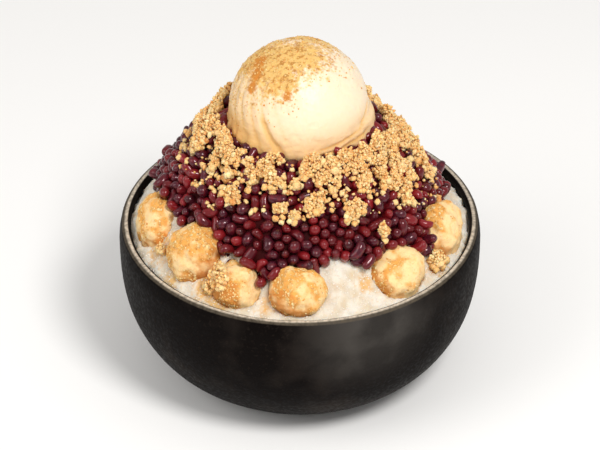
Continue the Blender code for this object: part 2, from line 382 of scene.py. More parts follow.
def turning_tree():
    """Turns a section, a chain of points from axis to axis, about the upright axis."""
    tree, given = new_tree(
        "turned_clay",
        {
            "Columns": 160, "Wobble width": 0.03, "Wobble height": 0.0004, "Grit width": 0.002,
            "Grit height": 0.00015,
        },
    )
    section = given.outputs["Geometry"]
    rows = add(tree, "GeometryNodeAttributeDomainSize", Geometry=section)
    around = add(tree, "ShaderNodeMath", given.outputs["Columns"], 1.0, operation="ADD")
    grid = add(
        tree, "GeometryNodeMeshGrid", Size_X=1.0, Size_Y=1.0, Vertices_X=around,
        Vertices_Y=rows.outputs["Point Count"],
    )
    place = add(tree, "ShaderNodeSeparateXYZ", grid.outputs["UV Map"])
    last = add(tree, "ShaderNodeMath", rows.outputs["Point Count"], 1.0, operation="SUBTRACT")
    row = add(tree, "ShaderNodeMath", place.outputs["Y"], last, operation="MULTIPLY")
    nearest = add(tree, "ShaderNodeMath", row, operation="ROUND")
    spot = add(
        tree, "GeometryNodeSampleIndex", data_type="FLOAT_VECTOR", domain="POINT", Geometry=section,
        Value=add(tree, "GeometryNodeInputPosition"), Index=nearest,
    )
    turn = add(tree, "ShaderNodeMath", place.outputs["X"], math.tau, operation="MULTIPLY")
    turned = add(tree, "ShaderNodeVectorRotate", rotation_type="Z_AXIS", Vector=spot, Angle=turn)
    wrapped = add(tree, "GeometryNodeSetPosition", Geometry=grid.outputs["Mesh"], Position=turned)
    closed = add(tree, "GeometryNodeMergeByDistance", Geometry=wrapped, Distance=2e-6)
    return end_tree(tree, given, roughened(tree, given.outputs, closed, Wobble=0.0, Grit=2.0))


def dough_tree():
    """Rounds a faceted lump, swells it back to size and gives it lumps and floury grain."""
    tree, given = new_tree(
        "soft_dough",
        {
            "Rounding": 3, "Swell": 0.0005, "Lump width": 0.012, "Lump height": 0.004,
            "Knob width": 0.005, "Knob height": 0.002, "Grain width": 0.0012, "Grain height": 0.0005,
        },
    )
    out = given.outputs
    rounded = add(tree, "GeometryNodeSubdivisionSurface", Mesh=out["Geometry"], Level=out["Rounding"])
    normal = add(tree, "GeometryNodeInputNormal")
    outwards = add(tree, "ShaderNodeVectorMath", operation="SCALE", Vector=normal, Scale=out["Swell"])
    swollen = add(tree, "GeometryNodeSetPosition", Geometry=rounded, Offset=outwards)
    lumpy = roughened(tree, out, swollen, Lump=1.0, Knob=1.0, Grain=2.0)
    return end_tree(tree, given, lumpy)


def placing_tree():
    """Puts one of the shapes at each point, by the point's turn, stretch and shape number."""
    tree, given = new_tree("placed_shapes", {"Shapes": "NodeSocketCollection"})
    shapes = add(
        tree, "GeometryNodeCollectionInfo", Collection=given.outputs["Shapes"], Separate_Children=True,
        Reset_Children=True,
    )
    turn = add(tree, "GeometryNodeInputNamedAttribute", data_type="FLOAT_VECTOR", Name="turn")
    stretch = add(tree, "GeometryNodeInputNamedAttribute", data_type="FLOAT_VECTOR", Name="stretch")
    which = add(tree, "GeometryNodeInputNamedAttribute", data_type="INT", Name="shape")
    placed = add(
        tree, "GeometryNodeInstanceOnPoints", Points=given.outputs["Geometry"], Instance=shapes,
        Pick_Instance=True, Instance_Index=which,
        Rotation=add(tree, "FunctionNodeEulerToRotation", turn.outputs["Attribute"]), Scale=stretch,
    )
    return end_tree(tree, given, placed)


def strewing_tree():
    """Strews grains over a surface, as thickly as its powder attribute says."""
    tree, given = new_tree(
        "strewn_grains",
        {
            "Density": 1.0e6, "Smallest": 0.0003, "Largest": 0.0006, "Sunk": 0.3, "Brownest": 0.0,
            "Palest": 1.0, "Seed": 1,
        },
    )
    out = given.outputs
    powder = add(tree, "GeometryNodeInputNamedAttribute", data_type="FLOAT", Name="powder")
    density = add(tree, "ShaderNodeMath", powder, out["Density"], operation="MULTIPLY")
    points = add(
        tree, "GeometryNodeDistributePointsOnFaces", Mesh=out["Geometry"], Density=density,
        Seed=out["Seed"],
    )
    radius = add(
        tree, "FunctionNodeRandomValue", data_type="FLOAT", Min=out["Smallest"], Max=out["Largest"],
        Seed=out["Seed"],
    )
    sunk = add(tree, "ShaderNodeMath", radius, out["Sunk"], operation="MULTIPLY")
    inwards = add(tree, "ShaderNodeMath", sunk, -1.0, operation="MULTIPLY")
    offset = add(
        tree, "ShaderNodeVectorMath", operation="SCALE", Vector=points.outputs["Normal"], Scale=inwards
    )
    seated = add(tree, "GeometryNodeSetPosition", Geometry=points.outputs["Points"], Offset=offset)
    tint = add(
        tree, "FunctionNodeRandomValue", data_type="FLOAT", Min=out["Brownest"], Max=out["Palest"],
        Seed=7,
    )
    tinted = add(
        tree, "GeometryNodeStoreNamedAttribute", data_type="FLOAT", domain="POINT", Geometry=seated,
        Name="tint", Value=tint,
    )
    turn = add(
        tree, "FunctionNodeRandomValue", data_type="FLOAT_VECTOR", Max=(math.tau,) * 3, Seed=out["Seed"]
    )
    squash = add(
        tree, "FunctionNodeRandomValue", data_type="FLOAT_VECTOR", Min=(0.6, 0.6, 0.6),
        Max=(1.2, 1.2, 1.2), Seed=out["Seed"],
    )
    stretch = add(tree, "ShaderNodeVectorMath", operation="SCALE", Vector=squash, Scale=radius)
    grain = add(tree, "GeometryNodeMeshIcoSphere", Radius=1.0, Subdivisions=1)
    placed = add(
        tree, "GeometryNodeInstanceOnPoints", Points=tinted, Instance=grain.outputs["Mesh"],
        Rotation=add(tree, "FunctionNodeEulerToRotation", turn), Scale=stretch,
    )
    return end_tree(tree, given, placed)


# ---- The sizes and colours a user would change ----
class BowlLook(bpy.types.PropertyGroup):
    wall: length("Wall", "Thickness of the wall", 0.0046)
    floor: length("Floor", "Height of the floor inside", 0.0070)
    foot_ring: length("Foot ring", "Width of the ring that the bowl stands on", 0.0060)
    foot_recess: length("Foot recess", "Depth of the hollow inside the foot ring", 0.0015)
    belly_drop: length("Belly drop", "From the rim down to the widest part", 0.0085)
    shoulder_curve: FloatProperty(
        name="Shoulder curve", description="How fast the wall leans in above the belly, per metre",
        default=21.0,
    )
    lower_depth: length("Lower depth", "From the belly to where its curve would close", 0.0750)
    lower_sharpness: FloatProperty(
        name="Lower sharpness", description="First exponent of the lower curve", default=2.757
    )
    lower_fullness: FloatProperty(
        name="Lower fullness", description="Second exponent of the lower curve", default=2.117
    )
    columns: count("Columns", "Faces round the bowl", 160)
    clay: colour("Clay", "The dark of the glaze", "#090504")
    worn: colour("Worn", "The thinner, greyer glaze", "#241E1A")
    lip: colour("Lip", "Bare clay on the outside of the lip", "#544B3F")
    # Grey of a painted sheen, a soft reflection painted into the glaze on the front right
    painted_sheen: colour("Thin glaze", "Grey where the glaze ran thin", "#484440")
    # Bare clay on the lip's inner crest, lightened as a painted highlight
    lip_crest_and_highlight: colour("Lip crest", "Bare clay on the lip's inner crest", "#D0C2AE")


class IceLook(bpy.types.PropertyGroup):
    reach: length("Reach", "How far the ice runs into the bowl's wall", 0.0002)
    drift_width: length("Drift width", "Width of the soft drifts", 0.0065)
    drift_height: length("Drift height", "Height of the soft drifts", 0.0012)
    snow_width: length("Snow width", "Width of the snowy grain", 0.0017)
    snow_height: length("Snow height", "Height of the snowy grain", 0.00045)
    flakes_each: FloatProperty(
        name="Flakes", description="Loose flakes on a square metre of bare ice", default=3.0e5
    )
    snow: colour("Snow", "The lit ice", "#E8DFCF")
    flake: colour("Flake", "Loose flakes that catch the light", "#F0E7D9")
    # Milk is painted shade, laid in soft random patches that stand for the ice's hollows
    milk: colour("Milk", "The ice in the hollows", "#DAC8AC")
    powder: colour("Powder", "Soybean powder that fell on the ice", "#E3B26C")


class BeanLook(bpy.types.PropertyGroup):
    length: length("Length", "Length of a bean", 0.0080)
    width: length("Width", "Thickness of a bean", 0.0050)
    spacing: length("Spacing", "Between bean centres before they settle", 0.0038)
    depth: length("Depth", "Depth of the top layer's centres", 0.0026)
    layer: length("Layer", "From one layer of beans to the next", 0.0038)
    settling: count("Settling", "Rounds of pushing the beans apart", 60)
    ripe: colour("Ripe", "The commonest skin", "#590E12")
    plum: colour("Plum", "Skins that turned purple", "#43121F")
    dark: colour("Dark", "The darkest skins", "#33090B")
    bright: colour("Bright", "The reddest skins", "#861B20")
    seam: colour("Seam", "The pale seam along a bean", "#B06A66")
    syrup: colour("Syrup", "Crushed beans and syrup between them", "#3A0807")


class CrumbLook(bpy.types.PropertyGroup):
    coarse: count("Coarse crumbs", "How many coarse crumbs", 1900)
    fine: count("Fine crumbs", "How many fine crumbs", 4400)
    coarse_size: length("Coarse size", "Mean radius of a coarse crumb", 0.00120)
    fine_size: length("Fine size", "Mean radius of a fine crumb", 0.00060)
    golden: colour("Golden", "The commonest crumb", "#F1B76E")
    pale: colour("Pale", "The palest crumbs", "#FFE0A6")
    toasted: colour("Toasted", "The most toasted crumbs", "#CF8842")


class ScoopLook(bpy.types.PropertyGroup):
    radius: length("Radius", "Radius of the ball", 0.0310)
    sunk: length("Sunk", "From the ball's centre down to its flat underside", 0.0120)
    shift: length("Shift", "How far the ball was pushed to the left", 0.0007)
    skirt: length("Skirt", "How far the ragged skirt stands out", 0.0016)
    skirt_drop: length("Skirt drop", "From the ball's centre down to the skirt", 0.0062)
    skirt_width: length("Skirt width", "Height of the skirt", 0.0038)
    fold_depth: length("Fold depth", "Depth of the folds on one side", 0.0009)
    fold_pitch: angle("Fold pitch", "From fold to fold", 13.0)
    folds_azimuth: angle("Folds azimuth", "Middle of the folds", -62.0)
    folds_spread: angle("Folds spread", "Half width of the folded side", 44.0)
    vanilla: colour("Vanilla", "The ice cream", "#F5DFC0")
    # Shade is painted shade: deeper yellow in the creases, on the ball's left and low down
    shade: colour("Shade", "The ice cream in its folds and low down", "#E8BB78")
    powder: colour("Powder", "Soybean powder on the ball", "#E4B86E")
    specks: colour("Specks", "The browner grains in the powder", "#B67A34")
    toasted: colour("Toasted", "Where the powder lies thickest", "#CC8232")


class CakeLook(bpy.types.PropertyGroup):
    rounding: count("Rounding", "Subdivisions of each lump", 3)
    swell: length("Swell", "Outwards after rounding", 0.0009)
    lump_height: length("Lump height", "Height of the soft lumps", 0.0048)
    knob_height: length("Knob height", "Height of the smaller knobs", 0.0030)
    grain_height: length("Grain height", "Height of the floury grain", 0.0005)
    grains_each: FloatProperty(
        name="Grains", description="Powder grains on a square metre", default=1.1e6
    )
    powder: colour("Powder", "Soybean powder", "#E9A650")
    # Toasted is also the painted shade on each cake's lower side
    toasted: colour("Toasted", "Where powder caked, and low down", "#CA7C2C")
    pale: colour("Pale", "The palest powder", "#FADDA2")
    dough: colour("Dough", "Dough that shows through", "#F7D297")


class StageLook(bpy.types.PropertyGroup):
    floor: colour("Floor", "The table", "#FAF8F5")
    elevation: angle("Elevation", "Camera above level", 35.3)
    distance: length("Distance", "From the camera to the middle of the rim", 1.5)
    aim_drop: length("Aim drop", "The aim, below the rim", 0.00447)
    view_width: length("View width", "How much the camera sees across, at the rim", 0.27048)


# ---- Finishes ----
def new_finish(name):
    """A material's tree, its surface shader, and places on the object in metres."""
    finish = bpy.data.materials.new(name)
    finish.use_nodes = True
    tree = finish.node_tree
    surface = tree.nodes["Principled BSDF"]
    place = add(tree, "ShaderNodeTexCoord").outputs["Object"]
    return finish, tree, surface, place


def laid_over(tree, under, over, amount, low, high, most=1.0):
    """One colour over another, more of it as an amount rises from low to high."""
    cover = add(tree, "ShaderNodeMapRange", Value=amount, From_Min=low, From_Max=high, To_Max=most)
    return add(tree, "ShaderNodeMix", data_type="RGBA", Factor=cover, A=under, B=over)


def set_ramp(ramp, colours):
    """Gives a colour ramp these colours at their places from 0 to 1."""
    stops = ramp.color_ramp.elements
    for place, rgb in colours.items():
        stop = {0.0: stops[0], 1.0: stops[-1]}.get(place) or stops.new(place)
        stop.color = (*rgb, 1.0)


def stoneware_finish(look):
    """Black stoneware, thrown, dipped in a dry iron glaze and fired: almost black and softly mottled,
    with a dull sheen that breaks up over the grit, a broad painted grey sheen on the front right, and
    bare clay along the lip, lightened on its inner crest as a painted highlight."""
    finish, tree, surface, place = new_finish("black_stoneware")
    cloud = add(tree, "ShaderNodeTexNoise", Vector=place, Scale=40.0, Detail=5.0)
    glaze = laid_over(tree, look.clay, look.worn, cloud, 0.48, 0.74)
    # Grit of about 1.5 mm, as coarse as it needs to be to show
    grit = add(tree, "ShaderNodeTexNoise", Vector=place, Scale=650.0, Detail=3.0)
    flecked = laid_over(tree, glaze, look.worn, grit, 0.56, 0.72, 0.55)
    # One broad painted sheen, grey and mottled, where a soft reflection would lie below the lip
    from_painted_sheen = add(tree, "ShaderNodeVectorMath", place, PAINTED_SHEEN_MIDDLE, operation="DISTANCE")
    patch = add(
        tree, "ShaderNodeMapRange", interpolation_type="SMOOTHSTEP", Value=from_painted_sheen.outputs["Value"],
        From_Min=PAINTED_SHEEN_REACH, From_Max=0.002,
    )
    mottle = add(
        tree, "ShaderNodeMapRange", Value=cloud, From_Min=0.42, From_Max=0.60, To_Min=0.45, To_Max=0.95
    )
    painted_sheen_amount = add(tree, "ShaderNodeMath", patch, mottle, operation="MULTIPLY")
    with_painted_sheen = add(tree, "ShaderNodeMix", data_type="RGBA", Factor=painted_sheen_amount, A=flecked, B=look.painted_sheen)
    # Bare clay on the last millimetre of the lip, from just inside its middle outwards, its inner crest
    # lighter as a painted highlight
    height = add(tree, "ShaderNodeSeparateXYZ", place).outputs["Z"]
    crest = add(tree, "ShaderNodeMapRange", Value=height, From_Min=RIM - 0.0012, From_Max=RIM - 0.0007)
    flat = add(tree, "ShaderNodeVectorMath", place, (1, 1, 0), operation="MULTIPLY")
    out = add(tree, "ShaderNodeVectorMath", flat, operation="LENGTH").outputs["Value"]
    outside = add(
        tree, "ShaderNodeMapRange", Value=out, From_Min=LIP_MIDDLE - 0.0010,
        From_Max=LIP_MIDDLE - 0.0006,
    )
    # Painted highlight: the crest colour is lighter than the bare clay farther out
    clay = laid_over(tree, look.lip_crest_and_highlight, look.lip, out, LIP_MIDDLE + 0.0002, LIP_MIDDLE + 0.0010)
    near_lip = add(tree, "ShaderNodeMath", crest, outside, operation="MULTIPLY")
    rubbed = add(tree, "ShaderNodeMapRange", Value=grit, From_Min=0.34, From_Max=0.60, To_Min=0.50)
    bare = add(tree, "ShaderNodeMath", near_lip, rubbed, operation="MULTIPLY")
    skin = add(tree, "ShaderNodeMix", data_type="RGBA", Factor=bare, A=with_painted_sheen, B=clay)
    dullness = add(
        tree, "ShaderNodeMapRange", Value=grit, From_Min=0.3, From_Max=0.7, To_Min=0.42, To_Max=0.70
    )
    relief = add(tree, "ShaderNodeBump", Height=grit, Strength=0.5, Distance=0.0002)
    connect(
        tree, surface, Base_Color=skin, Roughness=dullness, Normal=relief, IOR=1.30,
        Specular_IOR_Level=0.09,
    )
    return finish


def shaved_ice_finish(look):
    """Milk ice, frozen and shaved: snow white and matt with fine sparkle, with a creamier painted shade
    in soft random patches that stand for its hollows, and glowing a little from inside."""
    finish, tree, surface, place = new_finish("shaved_milk_ice")
    painted_shade_patches = add(tree, "ShaderNodeTexNoise", Vector=place, Scale=170.0, Detail=3.0)
    # Painted shade: the darker milk colour in soft random patches
    skin = laid_over(tree, look.snow, look.milk, painted_shade_patches, 0.40, 0.68)
    fallen = add(tree, "ShaderNodeAttribute", attribute_name="dust").outputs["Fac"]
    flour = add(tree, "ShaderNodeTexNoise", Vector=place, Scale=420.0, Detail=4.0)
    powdered = add(tree, "ShaderNodeMath", fallen, 0.6, flour, operation="MULTIPLY_ADD")
    dusted = laid_over(tree, skin, look.powder, powdered, 0.62, 0.95, 0.9)
    # Crystals of about 0.6 mm
    crystal = add(tree, "ShaderNodeTexVoronoi", Vector=place, Scale=1600.0).outputs["Distance"]
    relief = add(tree, "ShaderNodeBump", Height=crystal, Strength=0.35, Distance=0.0003)
    sheen = add(tree, "ShaderNodeMapRange", Value=crystal, From_Max=0.8, To_Min=0.35, To_Max=0.75)
    connect(
        tree, surface, Base_Color=dusted, Roughness=sheen, Normal=relief, IOR=1.31,
        Subsurface_Weight=0.8, Subsurface_Radius=(1.0, 0.85, 0.7), Subsurface_Scale=0.004,
    )
    return finish


def flake_finish(look):
    """Loose flakes of milk ice: white and softly bright, too small to be seen through."""
    finish, tree, surface, _ = new_finish("loose_ice_flakes")
    connect(tree, surface, Base_Color=look.flake, Roughness=0.5, IOR=1.31)
    return finish


def bean_finish(look):
    """Adzuki beans simmered in syrup: burgundy skins from nearly black to bright red, each with
    a pale seam, glassy where the syrup lies."""
    finish, tree, surface, place = new_finish("adzuki_beans_in_syrup")
    tint = add(tree, "ShaderNodeAttribute", attribute_name="tint").outputs["Fac"]
    skins = add(tree, "ShaderNodeValToRGB", Fac=tint)
    set_ramp(skins, {0.0: look.dark, 0.25: look.plum, 0.55: look.ripe, 1.0: look.bright})
    mottle = add(tree, "ShaderNodeTexNoise", Vector=place, Scale=420.0, Detail=3.0)
    mottled = laid_over(tree, skins, look.bright, mottle, 0.48, 0.78, 0.55)
    local = add(tree, "ShaderNodeAttribute", attribute_name="local").outputs["Vector"]
    along = add(tree, "ShaderNodeSeparateXYZ", local)
    seam_ends = add(tree, "ShaderNodeMath", along.outputs["X"], operation="ABSOLUTE")
    seam_length = add(tree, "ShaderNodeMapRange", Value=seam_ends, From_Min=0.40, From_Max=0.28)
    seam_side = add(tree, "ShaderNodeMapRange", Value=along.outputs["Y"], From_Min=0.60, From_Max=0.66)
    seam = add(tree, "ShaderNodeMath", seam_length, seam_side, operation="MULTIPLY")
    seam_strength = add(tree, "ShaderNodeMath", seam, 0.35, operation="MULTIPLY")
    skin = add(tree, "ShaderNodeMix", data_type="RGBA", Factor=seam_strength, A=mottled, B=look.seam)
    wrinkle = add(tree, "ShaderNodeTexNoise", Vector=place, Scale=900.0, Detail=2.0)
    relief = add(tree, "ShaderNodeBump", Height=wrinkle, Strength=0.35, Distance=0.0003)
    syrup = add(
        tree, "ShaderNodeMapRange", Value=mottle, From_Min=0.35, From_Max=0.65, To_Min=0.14, To_Max=0.34
    )
    connect(
        tree, surface, Base_Color=skin, Roughness=syrup, Normal=relief, IOR=1.46,
        Specular_IOR_Level=0.4, Specular_Tint=(1.0, 0.55, 0.57, 1.0), Coat_Weight=0.45,
        Coat_Roughness=0.10,
    )
    return finish


def syrup_finish(look):
    """Crushed beans and syrup between the whole ones: the darkest red, wet and lumpy."""
    finish, tree, surface, place = new_finish("crushed_beans_and_syrup")
    lumps = add(tree, "ShaderNodeTexNoise", Vector=place, Scale=300.0, Detail=4.0)
    skin = laid_over(tree, look.dark, look.syrup, lumps, 0.35, 0.75)
    relief = add(tree, "ShaderNodeBump", Height=lumps, Strength=0.8, Distance=0.001)
    connect(tree, surface, Base_Color=skin, Normal=relief, Roughness=0.6, Specular_IOR_Level=0.05)
    return finish


def crumb_finish(name, toasted, golden, pale):
    """Roasted soybean and butter, crushed into crumbs or ground to powder: dry and golden, some
    grains paler and some browner, with no gloss."""
    finish, tree, surface, place = new_finish(name)
    tint = add(tree, "ShaderNodeAttribute", attribute_name="tint").outputs["Fac"]
    crumbs = add(tree, "ShaderNodeValToRGB", Fac=tint)
    set_ramp(crumbs, {0.0: toasted, 0.40: golden, 1.0: pale})
    flour = add(tree, "ShaderNodeTexNoise", Vector=place, Scale=900.0, Detail=3.0)
    skin = laid_over(tree, crumbs, pale, flour, 0.45, 0.75, 0.6)
    relief = add(tree, "ShaderNodeBump", Height=flour, Strength=0.7, Distance=0.0003)
    connect(
        tree, surface, Base_Color=skin, Normal=relief, Roughness=0.8, Subsurface_Weight=0.4,
        Subsurface_Radius=(1.0, 0.65, 0.35), Subsurface_Scale=0.0015,
    )
    return finish


def ice_cream_finish(look):
    """Vanilla ice cream pressed into a ball: cream coloured, softly wet and a little translucent, deeper
    yellow as painted shade in its folds, on its left and low down, under roasted soybean powder."""
    finish, tree, surface, place = new_finish("vanilla_ice_cream")
    # The fold attribute says how much painted shade lies here: in creases, on the left and low down
    fold = add(tree, "ShaderNodeAttribute", attribute_name="fold").outputs["Fac"]
    cream = add(tree, "ShaderNodeMix", data_type="RGBA", Factor=fold, A=look.vanilla, B=look.shade)
    # Powder lies in specks of about 1 mm and clumps of 3 mm, closer where there is more of it
    speck = add(tree, "ShaderNodeTexNoise", Vector=place, Scale=800.0, Detail=3.0)
    clump = add(tree, "ShaderNodeTexNoise", Vector=place, Scale=300.0, Detail=2.0)
    scatter = add(tree, "ShaderNodeMix", data_type="FLOAT", Factor=0.5, A=speck, B=clump)
    powder = add(tree, "ShaderNodeAttribute", attribute_name="powder").outputs["Fac"]
    cover = add(tree, "ShaderNodeMath", powder, 0.55, scatter, operation="MULTIPLY_ADD")
    dusting = add(tree, "ShaderNodeMapRange", Value=cover, From_Min=0.66, From_Max=0.84)
    browner = add(tree, "ShaderNodeTexNoise", Vector=place, Scale=430.0, Detail=4.0)
    speckled = laid_over(tree, look.powder, look.specks, browner, 0.50, 0.60, 0.85)
    dusted = add(tree, "ShaderNodeMix", data_type="RGBA", Factor=dusting, A=cream, B=speckled)
    heap = add(tree, "ShaderNodeAttribute", attribute_name="toast").outputs["Fac"]
    toast = add(tree, "ShaderNodeMath", heap, 0.7, scatter, operation="MULTIPLY_ADD")
    skin = laid_over(tree, dusted, look.toasted, toast, 0.68, 0.95)
    relief = add(tree, "ShaderNodeBump", Height=speck, Strength=0.35, Distance=0.0004)
    wetness = add(tree, "ShaderNodeMapRange", Value=dusting, To_Min=0.38, To_Max=0.85)
    connect(
        tree, surface, Base_Color=skin, Roughness=wetness, Normal=relief, IOR=1.40,
        Subsurface_Weight=0.35, Subsurface_Radius=(1.0, 0.8, 0.5), Subsurface_Scale=0.003,
    )
    return finish


def rice_cake_finish(look):
    """Steamed rice dough rolled in roasted soybean powder: soft and matt, golden, browner where the
    powder caked, with a browner painted shade on its lower side, and paler where the dough shows
    through."""
    finish, tree, surface, place = new_finish("rice_cake_in_soybean_powder")
    patch = add(tree, "ShaderNodeTexNoise", Vector=place, Scale=260.0, Detail=4.0)
    amount = add(tree, "ShaderNodeAttribute", attribute_name="powder").outputs["Fac"]
    cover = add(tree, "ShaderNodeMath", amount, 0.5, patch, operation="MULTIPLY_ADD")
    golden = laid_over(tree, look.dough, look.powder, cover, 0.50, 0.84)
    # Painted shade: the low attribute browns each cake's lower side, and the noise adds caked patches
    painted_low_shade = add(tree, "ShaderNodeAttribute", attribute_name="low").outputs["Fac"]
    caked = add(tree, "ShaderNodeMath", painted_low_shade, 0.75, patch, operation="MULTIPLY_ADD")
    dough = laid_over(tree, golden, look.toasted, caked, 0.62, 0.98, 0.85)
    # Powder grain of about 0.8 mm
    grain = add(tree, "ShaderNodeTexNoise", Vector=place, Scale=1100.0, Detail=3.0)
    skin = laid_over(tree, dough, look.toasted, grain, 0.58, 0.74, 0.35)
    relief = add(tree, "ShaderNodeBump", Height=grain, Strength=0.8, Distance=0.0003)
    connect(
        tree, surface, Base_Color=skin, Normal=relief, Roughness=0.8, Subsurface_Weight=0.3,
        Subsurface_Radius=(1.0, 0.7, 0.4), Subsurface_Scale=0.002,
    )
    return finish


def floor_finish(look):
    """A painted table top: pale, matt, with hardly any grain."""
    finish, tree, surface, place = new_finish("pale_painted_table")
    grain = add(tree, "ShaderNodeTexNoise", Vector=place, Scale=300.0)
    relief = add(tree, "ShaderNodeBump", Height=grain, Strength=0.05, Distance=0.0002)
    connect(tree, surface, Base_Color=look.floor, Normal=relief, Roughness=0.8, Specular_IOR_Level=0.2)
    return finish


# ---- The bowl ----
SECTION_STEPS = 92  # points down the outside of the bowl
FULL_ROWS = 0.015  # this far below the rim, the inside has every row, and one in five under it


def outer_radius(look, drop):
    """The bowl's outer radius, this far below the rim."""
    if drop < look.belly_drop:
        return BELLY - look.shoulder_curve * (look.belly_drop - drop) ** 2
    fall = (drop - look.belly_drop) / look.lower_depth
    return BELLY * (1.0 - fall**look.lower_sharpness) ** (1.0 / look.lower_fullness)


def bowl_section(look):
    """(radius, height) points from the foot's middle up the outside, over the lip and down the
    inside to the floor's middle; and the index of the first point on the inside."""
    lip = look.wall / 2
    drops = [RIM + (lip - RIM) * k / SECTION_STEPS for k in range(SECTION_STEPS + 1)]
    outer = [Vector((outer_radius(look, drop), RIM - drop)) for drop in drops]
    ring_inside = outer[0].x - look.foot_ring
    recess = look.foot_recess
    foot = [Vector((ring_inside * k / 6, recess)) for k in range(6)]
    foot += [Vector((ring_inside - recess, recess)), Vector((ring_inside, 0.0004))]
    foot += [Vector((ring_inside + 0.0005, 0.0)), Vector((outer[0].x - 0.0008, 0.0))]
    outer[0] += Vector((0.0, 0.0006))
    middle = outer[-1] - Vector((lip, 0.0))
    turns = [math.pi * k / 10 for k in range(1, 10)]
    over = [middle + Vector((math.cos(t), math.sin(t))) * lip for t in turns]
    inner = [outer[-1] - Vector((look.wall, 0.0))]
    for k in range(SECTION_STEPS - 1, 0, -1):
        along = (outer[k + 1] - outer[k - 1]).normalized()
        spot = outer[k] + Vector((-along.y, along.x)) * look.wall
        near_rim = spot.y > RIM - FULL_ROWS
        if spot.y > look.floor + look.wall / 2 and (near_rim or k % 5 == 0):
            inner.append(spot)
    corner = Vector((inner[-1].x - 2 * look.wall, look.floor))
    flat = [Vector((corner.x * (5 - k) / 5, look.floor)) for k in range(1, 6)]
    section = foot + outer + over + inner + [corner] + flat
    return section, len(foot + outer + over)


def inner_radius(look, height):
    """The inside radius at this height."""
    section, first = bowl_section(look)
    wall = [point for point in section[first:] if point.y > look.floor]
    return float(np.interp(height, [p.y for p in wall[::-1]], [p.x for p in wall[::-1]]))


class BINGSU_OT_bowl(bpy.types.Operator):
    """Turns the stoneware bowl from its section"""

    bl_idname = "bingsu.bowl"
    bl_label = "Bowl"

    def execute(self, context):
        look = context.scene.bingsu_bowl
        section, _ = bowl_section(look)
        chain = bpy.data.meshes.new("bowl_section")
        edges = [(k, k + 1) for k in range(len(section) - 1)]
        chain.from_pydata([(p.x, 0.0, p.y) for p in section], edges, [])
        finish = stoneware_finish(look)
        mesh = grown("stoneware_bowl", chain, turning_tree(), Columns=look.columns, Material=finish)
        piece("stoneware_bowl", mesh, finish, "stoneware", "bowl")
        return {"FINISHED"}


# ---- The shaved ice ----
ICE_DROP = 0.0035  # from the rim down to where the ice meets the wall
ICE_COLUMNS = 480
RIM_RINGS, RIM_STEP = 34, 0.0009  # close rings of points where the ice is bare
INNER_RINGS = 18  # and wider ones under the beans
WALL_RINGS = 12  # down the bowl's wall
TOP_DROP = 0.0055  # the ice's top side is nowhere farther under the rim
BEANS_END = (0.045, 0.052)  # from the axis, where the beans give way to bare ice
# Soybean powder on the ice: azimuth, distance from the bowl's axis and half width in
# millimetres, and how thickly
FALLEN_POWDER = (
    (-36, 67, 8, 1.0), (-29, 71, 6, 0.9), (-13, 69, 4, 0.6), (27, 63, 4, 0.8),
    (-64, 68, 7, 0.7), (-50, 73, 6, 0.7), (-95, 70, 7, 0.5), (59, 70, 6, 0.7), (78, 72, 6, 0.4),
    (166, 66, 5, 0.8), (-141, 67, 6, 0.8), (136, 68, 5, 0.7),
)  # fmt: skip


def ice_mesh(look, bowl):
    """The ice from the floor up the bowl's wall, and over its top with drifts and snowy grain."""
    land = Terrain(BELLY, ICE_CELL, tree_of(cad_copy("shaved_ice"))).fill()
    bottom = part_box("shaved_ice")[0].z
    edge = inner_radius(bowl, RIM - ICE_DROP) + look.reach
    turns = [math.tau * k / ICE_COLUMNS for k in range(ICE_COLUMNS)]
    ways = [Vector((math.cos(t), math.sin(t), 0.0)) for t in turns]

    heights = np.linspace(bottom + 0.001, RIM - 0.006, WALL_RINGS)
    radii = [inner_radius(bowl, z) + look.reach for z in heights]
    rings = [[way * r + Vector((0, 0, z)) for way in ways] for r, z in zip(radii, heights)]
    steps = [edge - RIM_STEP * k for k in range(RIM_RINGS)]
    steps += list(np.linspace(steps[-1] - 2 * RIM_STEP, 0.003, INNER_RINGS))
    for radius in steps:
        flat = [way * radius for way in ways]
        tops = land.at([p.x for p in flat], [p.y for p in flat])
        drifts = bumps(flat, look.drift_width, 3.0, 2) * look.drift_height
        snow = bumps(flat, look.snow_width, 8.0, 2) * look.snow_height
        rings.append([Vector((p.x, p.y, z)) for p, z in zip(flat, tops + drifts + snow)])
    peak = (0.0, 0.0, float(land.at(0.0, 0.0)))
    return mesh_from_rings("shaved_milk_ice", (0.0, 0.0, bottom), rings, peak)


def fallen_powder(places):
    """How thickly powder has fallen at each place, 0 to 1."""
    fallen = np.zeros(len(places))
    for azimuth, reach, half, strength in FALLEN_POWDER:
        middle = flat_way(azimuth) * reach * MM
        apart = np.hypot(places[:, 0] - middle.x, places[:, 1] - middle.y)
        fallen = np.maximum(fallen, strength * np.exp(-((apart / (half * MM)) ** 2)))
    return fallen


class BINGSU_OT_shaved_ice(bpy.types.Operator):
    """Fills the bowl with shaved ice, with snowy relief and loose flakes where it is bare"""

    bl_idname = "bingsu.shaved_ice"
    bl_label = "Shaved ice"

    def execute(self, context):
        look = context.scene.bingsu_ice
        mesh = ice_mesh(look, context.scene.bingsu_bowl)
        places = np.array([v.co for v in mesh.vertices])
        distance = np.hypot(places[:, 0], places[:, 1])
        bare = smoothstep(*BEANS_END, distance) * (places[:, 2] > RIM - TOP_DROP)
        set_attribute(mesh, "powder", bare)
        set_attribute(mesh, "dust", fallen_powder(places))
        piece("shaved_milk_ice", mesh, shaved_ice_finish(look), "ice", "shaved_ice")
        strewn(
            "ice_flakes", mesh, flake_finish(look), "ice", Density=look.flakes_each, Smallest=0.00022,
            Largest=0.00060, Sunk=0.45, Seed=3,
        )
        return {"FINISHED"}


